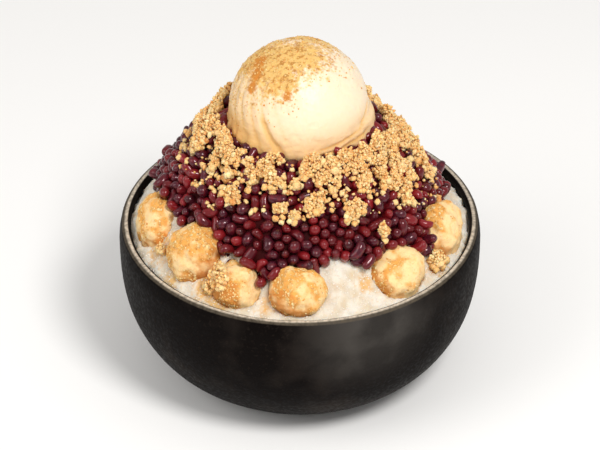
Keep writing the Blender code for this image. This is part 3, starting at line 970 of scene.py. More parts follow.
# ---- The ice cream ----
# Where powder lies on the ball: azimuth, rise and half width in degrees, and how thickly
POWDER = (
    (-60, 66, 30, 1.0), (-100, 50, 28, 0.8), (-74, 22, 20, 0.40), (10, 80, 26, 0.9), (-24, 52, 17, 0.9),
    (40, 66, 14, 0.45), (-46, 30, 16, 0.35), (160, 62, 34, 0.7),
)
TOASTED = (
    (-64, 49, 7, 1.0), (-56, 38, 6, 0.8), (-80, 56, 8, 0.9), (-13, 41, 5, 0.9), (-30, 50, 10, 0.4)
)
# Creases in the ball: azimuth and rise of both ends, half width in degrees, and depth
CREASES = (
    (-34, 19, -24, 3, 2.4, 0.0010), (-24, 3, -13, -9, 2.4, 0.0011), (14, -6, 58, -1, 1.3, 0.0005),
    (8, -11, 64, -6, 1.3, 0.0006), (58, -1, 84, 10, 1.6, 0.0006), (120, 8, 165, -2, 2.0, 0.0007),
    (-150, 4, -110, 14, 2.0, 0.0007),
)
LEDGE = (84, 28, 0.0020)  # azimuth, half width in degrees, and how far the ball bulges under it
SCOOP_COLUMNS, SCOOP_ROWS = 260, 130
SOFT_HEIGHT = 0.0005  # of the ball's broad unevenness
PIT_DEPTH = 0.0005  # a tenth of this stands out, the rest goes in
ICE_GRAIN = 0.00016  # height of the frozen grain


def lobes(ways, table):
    """How strongly each direction lies in the lobes of a table, 0 to 1."""
    strongest = np.zeros(len(ways))
    for azimuth, rise, spread, strength in table:
        apart = np.degrees(np.arccos(np.clip(ways @ np.array(way_to(azimuth, rise)), -1, 1)))
        strongest = np.maximum(strongest, strength * np.exp(-((apart / spread) ** 2)))
    return strongest


def crease_depths(azimuths, rises):
    """How deep the creases are at each direction, all in degrees."""
    depths = np.zeros(azimuths.shape)
    for azimuth, rise, azimuth_end, rise_end, width, depth in CREASES:
        run, climb = azimuth_end - azimuth, rise_end - rise
        along = ((azimuths - azimuth) * run + (rises - rise) * climb) / (run**2 + climb**2)
        along = np.clip(along, 0.0, 1.0)
        off = np.hypot(azimuths - azimuth - along * run, rises - rise - along * climb)
        depths += depth * np.exp(-((off / width) ** 2)) * (1.0 - 0.6 * np.abs(2 * along - 1) ** 3)
    return depths


def scoop_centre(look):
    return Vector((SCOOP_AXIS.x - look.shift, SCOOP_AXIS.y, SCOOP_HIGH.z - look.radius))


def scoop_mesh(look):
    """The ball with its folds, creases, ragged skirt and pitted skin."""
    columns, rows = SCOOP_COLUMNS, SCOOP_ROWS
    low = math.degrees(math.asin(-look.sunk / look.radius))
    azimuths, rises = np.meshgrid(
        np.linspace(-180, 180, columns, endpoint=False), np.linspace(low, 90.0, rows, endpoint=False)
    )
    azimuths, rises = azimuths.ravel(), rises.ravel()
    ways = np.array([way_to(a, r) for a, r in zip(azimuths, rises)])
    height = ways[:, 2] * look.radius

    folds_azimuth = math.degrees(look.folds_azimuth)
    from_folds = (azimuths - folds_azimuth + 180.0) % 360.0 - 180.0
    folding = np.exp(-((from_folds / math.degrees(look.folds_spread)) ** 2))
    folding *= 1.0 - smoothstep(38.0, 62.0, rises)
    sweep = from_folds + 0.45 * rises + 5.0 * bumps(ways, 0.7, 2.0)
    wave = np.abs(np.sin(np.radians(sweep * 180.0 / math.degrees(look.fold_pitch))))
    uneven_folds = 0.75 + 0.5 * bumps(ways, 0.35, 5.0)
    folds = look.fold_depth * folding * uneven_folds * (wave**0.7 - 0.7)

    ragged = 1.0 + 0.8 * bumps(ways * (1, 1, 0.3), 0.22, 9.0, 2)
    skirt = look.skirt * ragged * np.exp(-(((height + look.skirt_drop) / look.skirt_width) ** 2))
    ledge_azimuth, ledge_spread, ledge_out = LEDGE
    ledge = ledge_out * np.exp(-(((azimuths - ledge_azimuth) / ledge_spread) ** 2))
    ledge *= smoothstep(0.0012, -0.0010, height)

    smooth_belly = np.exp(-(((azimuths - 35) / 34) ** 2 + ((rises - 30) / 30) ** 2))
    rough = 1.0 - 0.75 * smooth_belly
    soft = bumps(ways, 0.40, 1.0, 2) * SOFT_HEIGHT
    pits = np.minimum(bumps(ways, 0.085, 4.0, 2), 0.10) * PIT_DEPTH * rough
    grain = bumps(ways, 0.035, 6.0) * ICE_GRAIN * rough
    creases = crease_depths(azimuths, rises)

    spread = look.radius + folds + skirt + ledge + soft + pits + grain - creases
    centre = np.array(scoop_centre(look))
    points = centre + ways * spread[:, None]
    floor = centre[2] - look.sunk
    points[:, 2] = np.maximum(points[:, 2], floor)
    points[:columns, 2] = floor
    rings = points.reshape(rows, columns, 3)
    mesh = mesh_from_rings(
        "vanilla_scoop", (centre[0], centre[1], floor), [[Vector(p) for p in ring] for ring in rings],
        centre + np.array((0, 0, look.radius + soft[-1])),
    )
    # Painted shade, stored as fold: in the creases and fold troughs, on the ball's left and low down
    hollow = np.clip((creases - folds * 1.2) / look.fold_depth, 0.0, 1.0)
    left_painted_shade = 0.42 * smoothstep(10.0, -60.0, azimuths) * smoothstep(-150.0, -100.0, azimuths)
    low_painted_shade = 0.75 * smoothstep(26.0, -14.0, rises)
    fold = np.clip(0.8 * hollow + left_painted_shade + low_painted_shade, 0.0, 1.0)
    for name, values in (
        ("fold", fold),
        ("powder", lobes(ways, POWDER)),
        ("toast", lobes(ways, TOASTED)),
    ):
        set_attribute(mesh, name, np.concatenate([[0.0], values, [values[-1]]]))
    return mesh


class BINGSU_OT_ice_cream(bpy.types.Operator):
    """Sculpts the scoop of vanilla ice cream and dusts it with soybean powder"""

    bl_idname = "bingsu.ice_cream"
    bl_label = "Ice cream"

    def execute(self, context):
        look = context.scene.bingsu_scoop
        mesh = scoop_mesh(look)
        piece("vanilla_scoop", mesh, ice_cream_finish(look), "ice_cream", "ice_cream_scoop")
        strewn(
            "powder_on_scoop", mesh, bpy.data.materials["roasted_soybean_powder"], "rice_cake",
            Density=7.0e5, Smallest=0.00022, Largest=0.00060, Sunk=0.3, Brownest=0.0, Palest=0.75,
            Seed=11,
        )
        return {"FINISHED"}


# ---- The rice cakes ----
# Each cake's side with most powder, and the side where browner painted shade lies: azimuth and rise in
# degrees
CAKE_POWDER_AND_SHADE_SIDES = {
    "rice_cake_1": ((180, 30), (40, -50)), "rice_cake_2": ((10, 75), (60, -35)),
    "rice_cake_3": ((-80, 20), (-60, -20)), "rice_cake_4": ((-40, 60), (-60, -40)),
    "rice_cake_5": ((-70, 10), (-70, -25)), "rice_cake_6": ((-90, 30), (-20, -60)),
    "rice_cake_7": ((90, 60), (150, -30)), "rice_cake_8": ((180, 40), (-150, -40)),
    "rice_cake_9": ((-120, 70), (-100, -30)), "rice_cake_10": ((0, 60), (0, -50)),
}


class BINGSU_OT_rice_cakes(bpy.types.Operator):
    """Rounds each rice cake, gives it soft lumps and floury grain, and dusts it"""

    bl_idname = "bingsu.rice_cakes"
    bl_label = "Rice cakes"

    def execute(self, context):
        look = context.scene.bingsu_cakes
        finish = rice_cake_finish(look)
        powder = bpy.data.materials["roasted_soybean_powder"]
        dough = dough_tree()
        for number, name in enumerate(CAKES):
            mesh = grown(
                "soft_" + name, cad_copy(name), dough, Rounding=look.rounding, Swell=look.swell,
                Lump_height=look.lump_height, Knob_height=look.knob_height,
                Grain_height=look.grain_height, Material=finish,
            )
            places = np.array([v.co for v in mesh.vertices])
            low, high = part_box(name)
            outwards = (places - np.array((low + high) / 2)) / np.array((high - low) / 2)
            powdered, shaded_side = CAKE_POWDER_AND_SHADE_SIDES[name]
            patches = bumps(places, 0.008, 4.0 + number, 2)
            thickly = smoothstep(-0.15, 0.65, patches + 0.45 * (outwards @ way_to(*powdered)))
            # Painted shade, browner towards each cake's shaded side, mostly its underside
            shaded_low_side = smoothstep(-0.20, 1.10, outwards @ way_to(*shaded_side) + 0.5 * patches)
            set_attribute(mesh, "powder", thickly)
            set_attribute(mesh, "low", shaded_low_side)
            piece("soft_" + name, mesh, finish, "rice_cake", name)
            strewn(
                "powder_on_" + name, mesh, powder, "rice_cake", Density=look.grains_each,
                Smallest=0.00030, Largest=0.00095, Sunk=0.5, Brownest=0.05, Palest=0.9, Seed=20 + number,
            )
        return {"FINISHED"}


# ---- The sweet red beans ----
BARE_UNDER_SCOOP = 0.0245  # no beans are seen this near the scoop's axis
HEAP_CORE = 0.030  # the heap runs at least this far from its peak
EDGE_BEANS = 76  # beans in the row along the heap's edge
EDGE_IN = (0.0006, 0.0022)  # how far inside the edge they lie
HEAP_TRIES, GAP_TRIES = 26000, 9000  # places tried for a bean, in the heap and in its gaps
NEAREST = 0.90  # how near two beans may lie, as a share of their two half widths
PUSH = 0.22  # how much of an overlap one round takes away
HOLD = 0.03  # how much each round draws a bean back to its first place
HARD = 0.8  # how near a bean may lie to a cake or the scoop, as a share of its half width


# Shapes of bean: how far it bends, how pointed its ends are, and its seed
BEAN_SHAPES = {
    "straight_bean": (0.10, 0.72, 1.0), "bent_bean": (0.24, 0.66, 5.0), "round_bean": (0.14, 0.58, 9.0),
}


def bean_shape(name, bend, pointed, seed):
    """A bean along X, one unit from its middle to each end, with its seam at +Y."""
    columns, rows = 11, 6
    rings = []
    for k in range(1, rows + 1):
        angle = math.pi * k / (rows + 1)
        x = -math.cos(angle)
        girth = 0.70 * math.sin(angle) ** pointed
        ring = []
        for c in range(columns):
            turn = math.tau * c / columns
            spot = Vector((x, girth * math.cos(turn), girth * 0.94 * math.sin(turn)))
            if spot.y > 0:
                spot.y *= 1.0 - 0.22 * (1.0 - x * x) ** 2
            spot *= 1.0 + 0.09 * noise.noise(spot * 1.7 + Vector((seed, 0, 0)))
            ring.append(spot)
        rings.append(ring)
    mesh = mesh_from_rings(name, Vector((-1, 0, 0)), rings, Vector((1, 0, 0)))
    set_attribute(mesh, "local", [v.co for v in mesh.vertices], "FLOAT_VECTOR")
    for vertex in mesh.vertices:
        vertex.co.y += bend * vertex.co.x**2
    return mesh


def lump_shape(name, seed):
    """An irregular crumb, about one unit in radius."""
    rings = []
    for rise in (-50, -15, 20, 55):
        ring = []
        for k in range(7):
            way = way_to(360 * k / 7 + rise, rise)
            ring.append(way * (1.0 + 0.45 * noise.noise(way * 1.6 + Vector((seed, seed, 0)))))
        rings.append(ring)
    return mesh_from_rings(name, Vector((0, 0, -0.9)), rings, Vector((0, 0, 0.9)))


def grit_shape(name, seed):
    """A crumb of twenty faces for the finest grains."""
    shape = bmesh.new()
    bmesh.ops.create_icosphere(shape, subdivisions=1, radius=1.0)
    for vertex in shape.verts:
        vertex.co *= 1.0 + 0.5 * noise.noise(vertex.co * 1.3 + Vector((seed, 0, seed)))
    mesh = bpy.data.meshes.new(name)
    shape.to_mesh(mesh)
    shape.free()
    mesh.shade_smooth()
    return mesh


def shape_collection(name, meshes):
    shapes = bpy.data.collections.new(name)
    for number, mesh in enumerate(meshes):
        shapes.objects.link(bpy.data.objects.new(f"{name}_{number}", mesh))
    return shapes


def placed(name, places, turns, stretches, tints, shapes, finish):
    """Places a shape at each place and makes them one mesh."""
    points = bpy.data.meshes.new(name)
    points.from_pydata([tuple(p) for p in places], [], [])
    set_attribute(points, "turn", turns, "FLOAT_VECTOR")
    set_attribute(points, "stretch", stretches, "FLOAT_VECTOR")
    set_attribute(points, "tint", tints)
    numbers = points.attributes.new("shape", "INT", "POINT")
    numbers.data.foreach_set("value", np.arange(len(places)) % len(shapes.objects))
    tree = bpy.data.node_groups["placed_shapes"]
    mesh = grown(name, points, tree, Shapes=shapes, Material=finish)
    for thing in list(shapes.objects):
        bpy.data.objects.remove(thing)
    bpy.data.collections.remove(shapes)
    return mesh


def reach_of(land, way):
    """How far the heap runs from its peak in this direction."""
    reach = HEAP_CORE
    while not np.isnan(land.at((PEAK + way * reach).x, (PEAK + way * reach).y)):
        reach += 0.0005
    return reach


def edge_homes(look, land, floor, rng):
    """A ragged row of beans along the heap's edge, resting on the ice."""
    homes = []
    for k in range(EDGE_BEANS):
        way = flat_way(360 * k / EDGE_BEANS)
        spot = PEAK + way * (reach_of(land, way) - rng.uniform(*EDGE_IN))
        homes.append((spot.x, spot.y, float(floor.at(spot.x, spot.y)) + look.width * 0.42))
    return np.array(homes)


def bean_homes(look, land, floor, rng):
    """Places for the beans under the heap's skin, in two layers, before they settle."""
    homes = []
    margin = look.width * 0.30
    for layer in range(2):
        depth = look.depth + layer * look.layer
        spacing = look.spacing * (1.0 + 0.1 * layer)
        chosen = edge_homes(look, land, floor, rng) if layer == 0 else np.zeros((0, 3))
        tries = rng.uniform(-BELLY, BELLY, (HEAP_TRIES, 2))
        rims = [(margin, 0), (-margin, 0), (0, margin), (0, -margin), (0, 0)]
        inside = np.all(
            [~np.isnan(land.at(tries[:, 0] + dx, tries[:, 1] + dy)) for dx, dy in rims], axis=0
        )
        from_scoop = np.hypot(tries[:, 0] - SCOOP_AXIS.x, tries[:, 1] - SCOOP_AXIS.y)
        tries = tries[inside & (from_scoop > BARE_UNDER_SCOOP)]
        heights = land.at(tries[:, 0], tries[:, 1])
        normals = land.normals(tries[:, 0], tries[:, 1])
        normals[:, 2] = np.where(normals[:, 2] == 0, 1.0, normals[:, 2])
        spots = np.column_stack([tries, heights]) - normals * depth
        thick = heights - floor.at(tries[:, 0], tries[:, 1])
        spots = spots[thick > (0.0 if layer == 0 else depth + 0.001)]
        for spot in spots:
            if ((chosen - spot) ** 2).sum(1).min(initial=1.0) > spacing**2:
                chosen = np.vstack([chosen, spot])
        homes.append(chosen)
    return np.vstack(homes)


def gap_homes(look, land, middles, rng):
    """Places in the heap's skin that no bean came near."""
    found = []
    depths = land.at(middles[:, 0], middles[:, 1]) - middles[:, 2]
    filled = middles[~(depths > look.depth + 0.0014)]
    for x, y in rng.uniform(-BELLY, BELLY, (GAP_TRIES, 2)):
        height = float(land.at(x, y))
        if np.isnan(height) or math.hypot(x - SCOOP_AXIS.x, y - SCOOP_AXIS.y) < BARE_UNDER_SCOOP:
            continue
        normal = land.normals(x, y)
        spot = np.array((x, y, height)) - normal * look.depth
        if ((filled - spot) ** 2).sum(1).min() > (look.spacing * 1.02) ** 2:
            filled = np.vstack([filled, spot])
            found.append(spot)
    return np.array(found).reshape(-1, 3)


def laid_ways(land, homes, rng):
    """A way for each bean to point, lying nearly along the heap's skin."""
    ways = rng.normal(0.0, 1.0, homes.shape)
    normals = land.normals(homes[:, 0], homes[:, 1])
    ways -= normals * (ways * normals).sum(1, keepdims=True) * 0.75
    return ways / np.linalg.norm(ways, axis=1, keepdims=True)


def settle(look, homes, ways, half_lengths, radii, blocks, ball, rounds):
    """Pushes the beans out of each other, the rice cakes and the scoop."""
    centre, reach = ball
    middles, ways = homes.copy(), ways.copy()
    marks = np.array([-1.0, 0.0, 1.0])
    for turn in range(rounds):
        spots = middles[:, None] + ways[:, None] * (half_lengths[:, None] * marks)[..., None]
        if turn % 10 == 0:
            apart = np.linalg.norm(middles[:, None] - middles[None], axis=-1)
            near = (apart < look.length * 1.5) & np.triu(np.ones(apart.shape, bool), 1)
            first, second = np.nonzero(near)
        between = spots[first][:, :, None] - spots[second][:, None]
        away = np.linalg.norm(between, axis=-1) + 1e-9
        touching = (radii[first] + radii[second])[:, None, None] * NEAREST
        push = np.maximum(touching - away, 0.0) * PUSH
        step = between / away[..., None] * push[..., None]
        np.add.at(spots, first, step.sum(2))
        np.add.at(spots, second, -step.sum(1))
        out = spots - centre
        away = np.linalg.norm(out, axis=-1, keepdims=True)
        inside = np.maximum(reach + radii[:, None, None] * HARD - away, 0.0)
        spots += out / away * inside
        if turn % 6 == 0:
            for bean in range(len(spots)):
                for mark in (0, 2):
                    spot = Vector(spots[bean, mark])
                    hit, normal, _, distance = blocks.find_nearest(spot)
                    clear = (spot - hit).dot(normal)
                    if clear < radii[bean] * HARD and distance < look.length * 1.5:
                        spots[bean, mark] += np.array(normal) * (radii[bean] * HARD - clear) * 0.5
        middles = spots.mean(1) * (1.0 - HOLD) + homes * HOLD
        ways = spots[:, 2] - spots[:, 0]
        ways /= np.linalg.norm(ways, axis=-1, keepdims=True)
    return middles, ways


def turned_along(way, roll):
    """Euler angles that turn X along a way, rolled about it."""
    turn = Vector((1, 0, 0)).rotation_difference(Vector(way))
    return (turn @ Quaternion((1, 0, 0), roll)).to_euler()


CORE_COLUMNS, CORE_RINGS = 120, 22
CORE_LUMPS = 0.0012  # height of the lumps in the crushed beans
CORE_SUNK = 0.0015  # how far the core's underside lies in the ice


def syrup_core(land, floor, width):
    """What lies between and under the beans: a lower heap inside their outline."""
    columns, steps = CORE_COLUMNS, CORE_RINGS
    over, under = [], []
    ways = [flat_way(360 * k / columns) for k in range(columns)]
    reaches = [reach_of(land, way) - width * 0.36 for way in ways]
    for step in range(1, steps + 1):
        share_out = step / steps
        ring = [PEAK + way * reach * share_out for way, reach in zip(ways, reaches)]
        xs, ys = [p.x for p in ring], [p.y for p in ring]
        base = floor.at(xs, ys)
        lumps = bumps(ring, 0.005, 12.0, 2) * CORE_LUMPS
        top = np.maximum(land.at(xs, ys) - width * 0.75, base + 0.0010) + lumps
        top = np.where(share_out > 0.98, base + 0.0004, top)
        over.append([Vector((x, y, z)) for x, y, z in zip(xs, ys, top)])
        under.append([Vector((x, y, z - CORE_SUNK)) for x, y, z in zip(xs, ys, base)])
    middle = float(land.at(PEAK.x, PEAK.y)) - width * 0.75
    beneath = float(floor.at(PEAK.x, PEAK.y)) - CORE_SUNK
    rings = over + under[::-1]
    return mesh_from_rings("syrup_core", (PEAK.x, PEAK.y, middle), rings, (PEAK.x, PEAK.y, beneath))


def settled_beans(look, scoop, land, floor, rng):
    """(middles, ways, sizes) of the beans: a first lot settles, then more fill its gaps."""
    blocks = tree_of(*[cad_copy(name) for name in CAKES])
    ball = (np.array(scoop_centre(scoop)), scoop.radius)
    middles, ways, sizes = np.zeros((0, 3)), np.zeros((0, 3)), np.zeros(0)
    for rounds in (look.settling, look.settling // 2):
        if len(middles):
            homes = gap_homes(look, land, middles, rng)
        else:
            homes = bean_homes(look, land, floor, rng)
        middles = np.vstack([middles, homes])
        ways = np.vstack([ways, laid_ways(land, homes, rng)])
        sizes = np.append(sizes, rng.normal(1.0, 0.08, len(homes)).clip(0.88, 1.2))
        radii = look.width / 2 * sizes
        halves = (look.length / 2 - look.width / 2) * sizes
        middles, ways = settle(look, middles, ways, halves, radii, blocks, ball, rounds)
    return middles, ways, sizes


class BINGSU_OT_red_beans(bpy.types.Operator):
    """Heaps the beans, lets them settle against each other, and fills between them"""

    bl_idname = "bingsu.red_beans"
    bl_label = "Sweet red beans"

    def execute(self, context):
        look = context.scene.bingsu_beans
        rng = np.random.default_rng(7)
        land = Terrain(BELLY, HEAP_CELL, tree_of(cad_copy("red_beans")))
        floor = Terrain(BELLY, ICE_CELL, tree_of(cad_copy("shaved_ice"))).fill()
        core = syrup_core(land, floor, look.width)
        piece("syrup_core", core, syrup_finish(look), "beans", "red_beans")

        scoop = context.scene.bingsu_scoop
        middles, ways, sizes = settled_beans(look, scoop, land, floor, rng)
        rolls = rng.uniform(0, math.tau, len(middles))
        turns = [turned_along(way, roll) for way, roll in zip(ways, rolls)]
        plump = rng.uniform(0.93, 1.07, (len(middles), 2))
        # A bean's shape is 2 long, 1.4 across its seam and 1.32 the other way
        long, wide = look.length / 2 * sizes, look.width / 1.4 * sizes * plump[:, 0]
        thick = look.width / 1.32 * sizes * plump[:, 1]
        stretches = np.column_stack([long, wide, thick])
        tints = rng.beta(1.1, 1.4, len(middles))
        meshes = [bean_shape(name, *shape) for name, shape in BEAN_SHAPES.items()]
        shapes = shape_collection("bean_shapes", meshes)
        finish = bean_finish(look)
        mesh = placed("adzuki_beans", middles, turns, stretches, tints, shapes, finish)
        piece("adzuki_beans", mesh, finish, "beans")
        return {"FINISHED"}


# ---- The crumbs ----
# The band of crumbs round the scoop: azimuth, and its inner and outer radius in millimetres
CRUMB_BAND = (
    (-180, 41, 52), (-150, 40, 53), (-120, 40, 52), (-100, 37, 48), (-88, 36, 48), (-78, 32, 45),
    (-66, 32, 44), (-55, 31, 44), (-46, 30, 45), (-38, 28, 41), (-27, 27.5, 39), (-18, 28, 38),
    (-8, 28, 36), (0, 28.5, 38), (8, 27, 40), (14, 27, 40), (22, 28, 39), (30, 29, 42),
    (40, 29.5, 43), (50, 31, 44), (62, 33, 50), (74, 35, 53), (88, 40, 57), (104, 41, 56),
    (130, 40, 53), (155, 41, 51), (180, 41, 52),
)  # fmt: skip
# Where beans show through it: azimuth, distance from the bowl's axis and half width in
# millimetres
BARE_BEANS = (
    (-94, 35.5, 4.6), (-80, 40, 3.8), (-70, 31, 3.6), (-60, 29.5, 4.4), (-50, 29, 5.0),
    (-38, 29, 3.8), (-57, 44, 5.0), (-41, 39, 4.6), (-72, 47, 4.4), (-95, 44, 3.0),
    (-6, 30.5, 4.8), (7, 37.5, 3.2), (20, 43, 4.6), (35, 41, 4.0), (38, 46, 3.0),
    (49, 48.5, 5.4), (85, 47.5, 5.2), (81, 54, 5.2), (96, 40, 4.0), (100, 51, 4.0),
    (120, 46, 4.8), (141, 48, 4.2), (167, 44, 4.8), (-170, 50, 4.2), (-146, 45, 5.0),
    (-125, 50, 4.6), (-112, 43, 4.2),
)  # fmt: skip
# Small drifts of their own, given in the same way
DRIFTS = (
    (7, 42.3, 4.6), (-11.5, 44.5, 2.4), (-4, 45, 2.0), (41, 55.5, 2.6), (-41, 45.5, 3.8),
    (64, 53.5, 3.2), (92, 57, 3.2), (30, 46.5, 4.4), (-88, 46, 3.2), (59, 71, 4.2),
    (-33, 68.5, 4.2), (-28, 72, 2.8), (-62, 69, 2.2), (165, 67, 4.2), (-142, 68, 2.8), (136, 68, 3.2),
)  # fmt: skip
THICKEST = 0.0022  # the deepest that crumbs lie
LACE = 0.0070  # width of the small gaps between clumps
THIN_EDGE = 5.0  # the band's outer millimetres, where the gaps grow
ASTRAY = 6.0  # how many millimetres off the band a crumb may fall
FARTHEST = 0.073  # no crumb falls farther out than this
INNERMOST = 0.3  # or farther in than this share of it


def in_spots(spot, spots, ragged=0.0, slim=1.0):
    """Whether a place lies within any spot. Edges may be ragged, and spots slim outwards."""
    for azimuth, distance, half in spots:
        way = flat_way(azimuth)
        apart = spot - way * distance * MM
        apart += way * way.dot(apart) * (slim - 1.0)
        if apart.length < half * MM * (1.0 + ragged * noise.noise(spot / 0.0030)):
            return True
    return False


def crumbs_lie(spot, astray):
    """Whether crumbs stay here. Those astray also stay a little way off the band."""
    azimuth = math.degrees(math.atan2(spot.x, -spot.y))
    azimuths, inner, outer = zip(*CRUMB_BAND)
    wander = 1.4 * noise.noise(spot / 0.0060 + Vector((2.0, 0.0, 5.0)))
    low = np.interp(azimuth, azimuths, inner) + wander
    high = np.interp(azimuth, azimuths, outer) + wander
    reach = spot.length / MM
    if in_spots(spot, DRIFTS, 0.7, 1.5):
        return True
    if astray:
        return low < reach < high + ASTRAY
    if not low < reach < high or in_spots(spot, BARE_BEANS, 0.7):
        return False
    lace = noise.noise(spot / LACE + Vector((4.0, 9.0, 0.0)))
    thin_edge = max(0.0, (reach - high + THIN_EDGE) / THIN_EDGE)
    return lace > -0.27 + 0.30 * thin_edge


def rest_grain(land, x, y, radius):
    """Rests a grain on the land, raises the land by it, and gives its height."""
    i, j = land.cell_of(x, y)
    reach = max(1, int(radius / land.cell))
    window = land.heights[i - reach : i + reach + 1, j - reach : j + reach + 1]
    z = float(np.nanmean(window)) + radius * 0.50
    dx, dy = np.meshgrid(*[np.arange(-reach, reach + 1) * land.cell] * 2, indexing="ij")
    cap = z + np.sqrt(np.maximum(radius**2 - dx**2 - dy**2, 0.0)) * 0.8
    window[...] = np.where(dx**2 + dy**2 < radius**2, np.maximum(window, cap), window)
    return z


def strew_crumbs(land, number, size, stray, scoop, rng):
    """(places, radii) of crumbs dropped one after another where crumbs lie, with a few astray."""
    bare = land.heights.copy()
    centre, reach = scoop
    places, radii = [], []
    for _ in range(number * 60):
        if len(places) == number:
            break
        turn, out = rng.uniform(0, math.tau), math.sqrt(rng.uniform(INNERMOST**2, 1.0)) * FARTHEST
        spot = Vector((math.cos(turn), math.sin(turn), 0.0)) * out
        radius = size * rng.lognormal(0.0, 0.24)
        if not crumbs_lie(spot, rng.random() < stray):
            continue
        i, j = land.cell_of(spot.x, spot.y)
        if land.heights[i, j] > bare[i, j] + THICKEST:
            continue
        z = rest_grain(land, spot.x, spot.y, radius)
        where = np.array((spot.x, spot.y, z))
        if np.linalg.norm(where - centre) < reach + radius * 0.5:
            continue
        places.append(where)
        radii.append(radius)
    return np.array(places), np.array(radii)


class BINGSU_OT_crumbs(bpy.types.Operator):
    """Drops the soybean crumbs on the heap, coarse ones first"""

    bl_idname = "bingsu.crumbs"
    bl_label = "Crumbs"

    def execute(self, context):
        look = context.scene.bingsu_crumbs
        scoop = context.scene.bingsu_scoop
        rng = np.random.default_rng(19)
        under = ["adzuki_beans", "syrup_core", "shaved_milk_ice"] + ["soft_" + n for n in CAKES]
        meshes = [bpy.data.objects[name].data for name in under]
        land = Terrain(BELLY, CRUMB_CELL, tree_of(*meshes)).fill()
        ball = (np.array(scoop_centre(scoop)), scoop.radius)
        finish = bpy.data.materials["toasted_soybean_crumbs"]
        kinds = (
            ("coarse_crumbs", look.coarse, look.coarse_size, 0.015),
            ("fine_crumbs", look.fine, look.fine_size, 0.04),
        )
        for name, number, size, stray in kinds:
            places, radii = strew_crumbs(land, number, size, stray, ball, rng)
            turns = rng.uniform(0, math.tau, places.shape)
            stretches = radii[:, None] * rng.uniform(0.75, 1.25, places.shape)
            tints = np.clip(rng.normal(0.5, 0.22, len(places)), 0.0, 1.0)
            if name == "coarse_crumbs":
                meshes = [lump_shape(f"crumb_{seed}", 3.1 * seed) for seed in range(4)]
            else:
                meshes = [grit_shape(f"grit_{seed}", 2.3 * seed) for seed in range(3)]
            shapes = shape_collection(name + "_shapes", meshes)
            mesh = placed(name, places, turns, stretches, tints, shapes, finish)
            piece(name, mesh, finish, "rice_cake")
        return {"FINISHED"}


# ---- The stage ----
# Soft lights: azimuth, rise, distance and size in metres, and power in watts
LAMPS = {"key": (30, 52, 1.1, 0.34, 8.0), "fill": (-62, 38, 1.2, 0.8, 3.6)}
SKY = 0.56  # strength of the white light from all round
TABLE_HALF = 4.0
TABLE_GAP = 0.0001  # between the table and the foot, so that they don't share a plane


def aim(thing, place, target):
    thing.location = place
    thing.rotation_euler = (target - place).to_track_quat("-Z", "Y").to_euler()


class BINGSU_OT_stage(bpy.types.Operator):
    """Lays the pale table, hangs the soft lights and sets the camera"""

    bl_idname = "bingsu.stage"
    bl_label = "Stage"

    def execute(self, context):
        look = context.scene.bingsu_stage
        scene = context.scene
        floor = bpy.data.meshes.new("table_top")
        ground = CAD_BOX[0].z - TABLE_GAP
        corners = [(-1, -1, ground), (1, -1, ground), (1, 1, ground), (-1, 1, ground)]
        corners = [(x * TABLE_HALF, y * TABLE_HALF, z) for x, y, z in corners]
        floor.from_pydata(corners, [], [(0, 1, 2, 3)])
        floor.materials.append(floor_finish(look))
        put("table_top", floor)

        target = Vector((0.0, 0.0, RIM - look.aim_drop))
        for name, (azimuth, rise, distance, size, power) in LAMPS.items():
            light = bpy.data.lights.new(name, "AREA")
            light.shape = "DISK"
            light.size = size
            light.energy = power
            aim(put(name, light), target + way_to(azimuth, rise) * distance, target)
        world = bpy.data.worlds.new("studio")
        world.use_nodes = True
        sky = world.node_tree.nodes["Background"]
        sky.inputs["Color"].default_value = (1.0, 1.0, 1.0, 1.0)
        sky.inputs["Strength"].default_value = SKY
        scene.world = world
        scene.view_settings.view_transform = "Standard"

        lens = bpy.data.cameras.new("front")
        camera = put("front", lens)
        lens.sensor_width = 36.0
        lens.lens = lens.sensor_width * look.distance / look.view_width
        lens.clip_end = 20.0
        rise = math.degrees(look.elevation)
        aim(camera, target + way_to(0.0, rise) * look.distance, target)
        scene.camera = camera
        return {"FINISHED"}


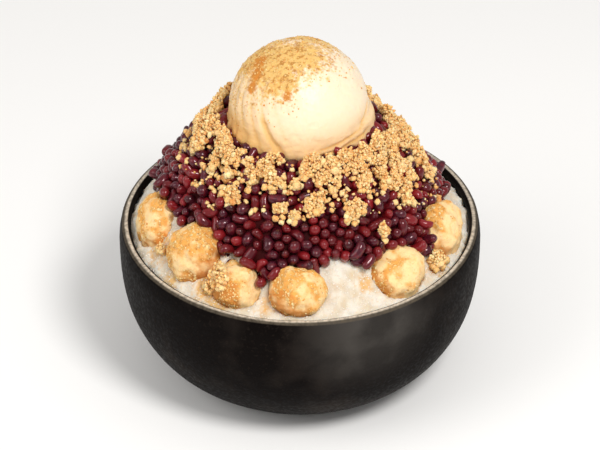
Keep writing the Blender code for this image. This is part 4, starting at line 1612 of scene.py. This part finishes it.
# ---- The add-on ----
class BINGSU_PT_panel(bpy.types.Panel):
    bl_idname = "BINGSU_PT_panel"
    bl_label = "Red bean bingsu"
    bl_space_type = "VIEW_3D"
    bl_region_type = "UI"
    bl_category = "Bingsu"

    def draw(self, context):
        for operator, look in STEPS:
            box = self.layout.box()
            box.operator(operator.bl_idname)
            if look:
                settings = getattr(context.scene, look)
                for name in settings.bl_rna.properties.keys():
                    if name not in ("rna_type", "name"):
                        box.prop(settings, name)


LOOKS = {
    "bingsu_bowl": BowlLook, "bingsu_ice": IceLook, "bingsu_beans": BeanLook,
    "bingsu_crumbs": CrumbLook, "bingsu_scoop": ScoopLook, "bingsu_cakes": CakeLook,
    "bingsu_stage": StageLook,
}
STEPS = (
    (BINGSU_OT_bowl, "bingsu_bowl"), (BINGSU_OT_shaved_ice, "bingsu_ice"),
    (BINGSU_OT_ice_cream, "bingsu_scoop"), (BINGSU_OT_rice_cakes, "bingsu_cakes"),
    (BINGSU_OT_red_beans, "bingsu_beans"), (BINGSU_OT_crumbs, "bingsu_crumbs"),
    (BINGSU_OT_stage, "bingsu_stage"),
)
CLASSES = [*LOOKS.values(), *[operator for operator, _ in STEPS], BINGSU_PT_panel]


def register():
    for item in CLASSES:
        bpy.utils.register_class(item)
    for name, look in LOOKS.items():
        setattr(bpy.types.Scene, name, PointerProperty(type=look))


def unregister():
    for name in LOOKS:
        delattr(bpy.types.Scene, name)
    for item in reversed(CLASSES):
        bpy.utils.unregister_class(item)


def main():
    register()
    strewing_tree()
    placing_tree()
    crumbs = bpy.context.scene.bingsu_crumbs
    cakes = bpy.context.scene.bingsu_cakes
    crumb_finish("toasted_soybean_crumbs", crumbs.toasted, crumbs.golden, crumbs.pale)
    crumb_finish("roasted_soybean_powder", cakes.toasted, cakes.powder, cakes.pale)
    bpy.ops.bingsu.bowl()
    bpy.ops.bingsu.shaved_ice()
    bpy.ops.bingsu.ice_cream()
    bpy.ops.bingsu.rice_cakes()
    bpy.ops.bingsu.red_beans()
    bpy.ops.bingsu.crumbs()
    bpy.ops.bingsu.stage()


if __name__ == "__main__":
    main()
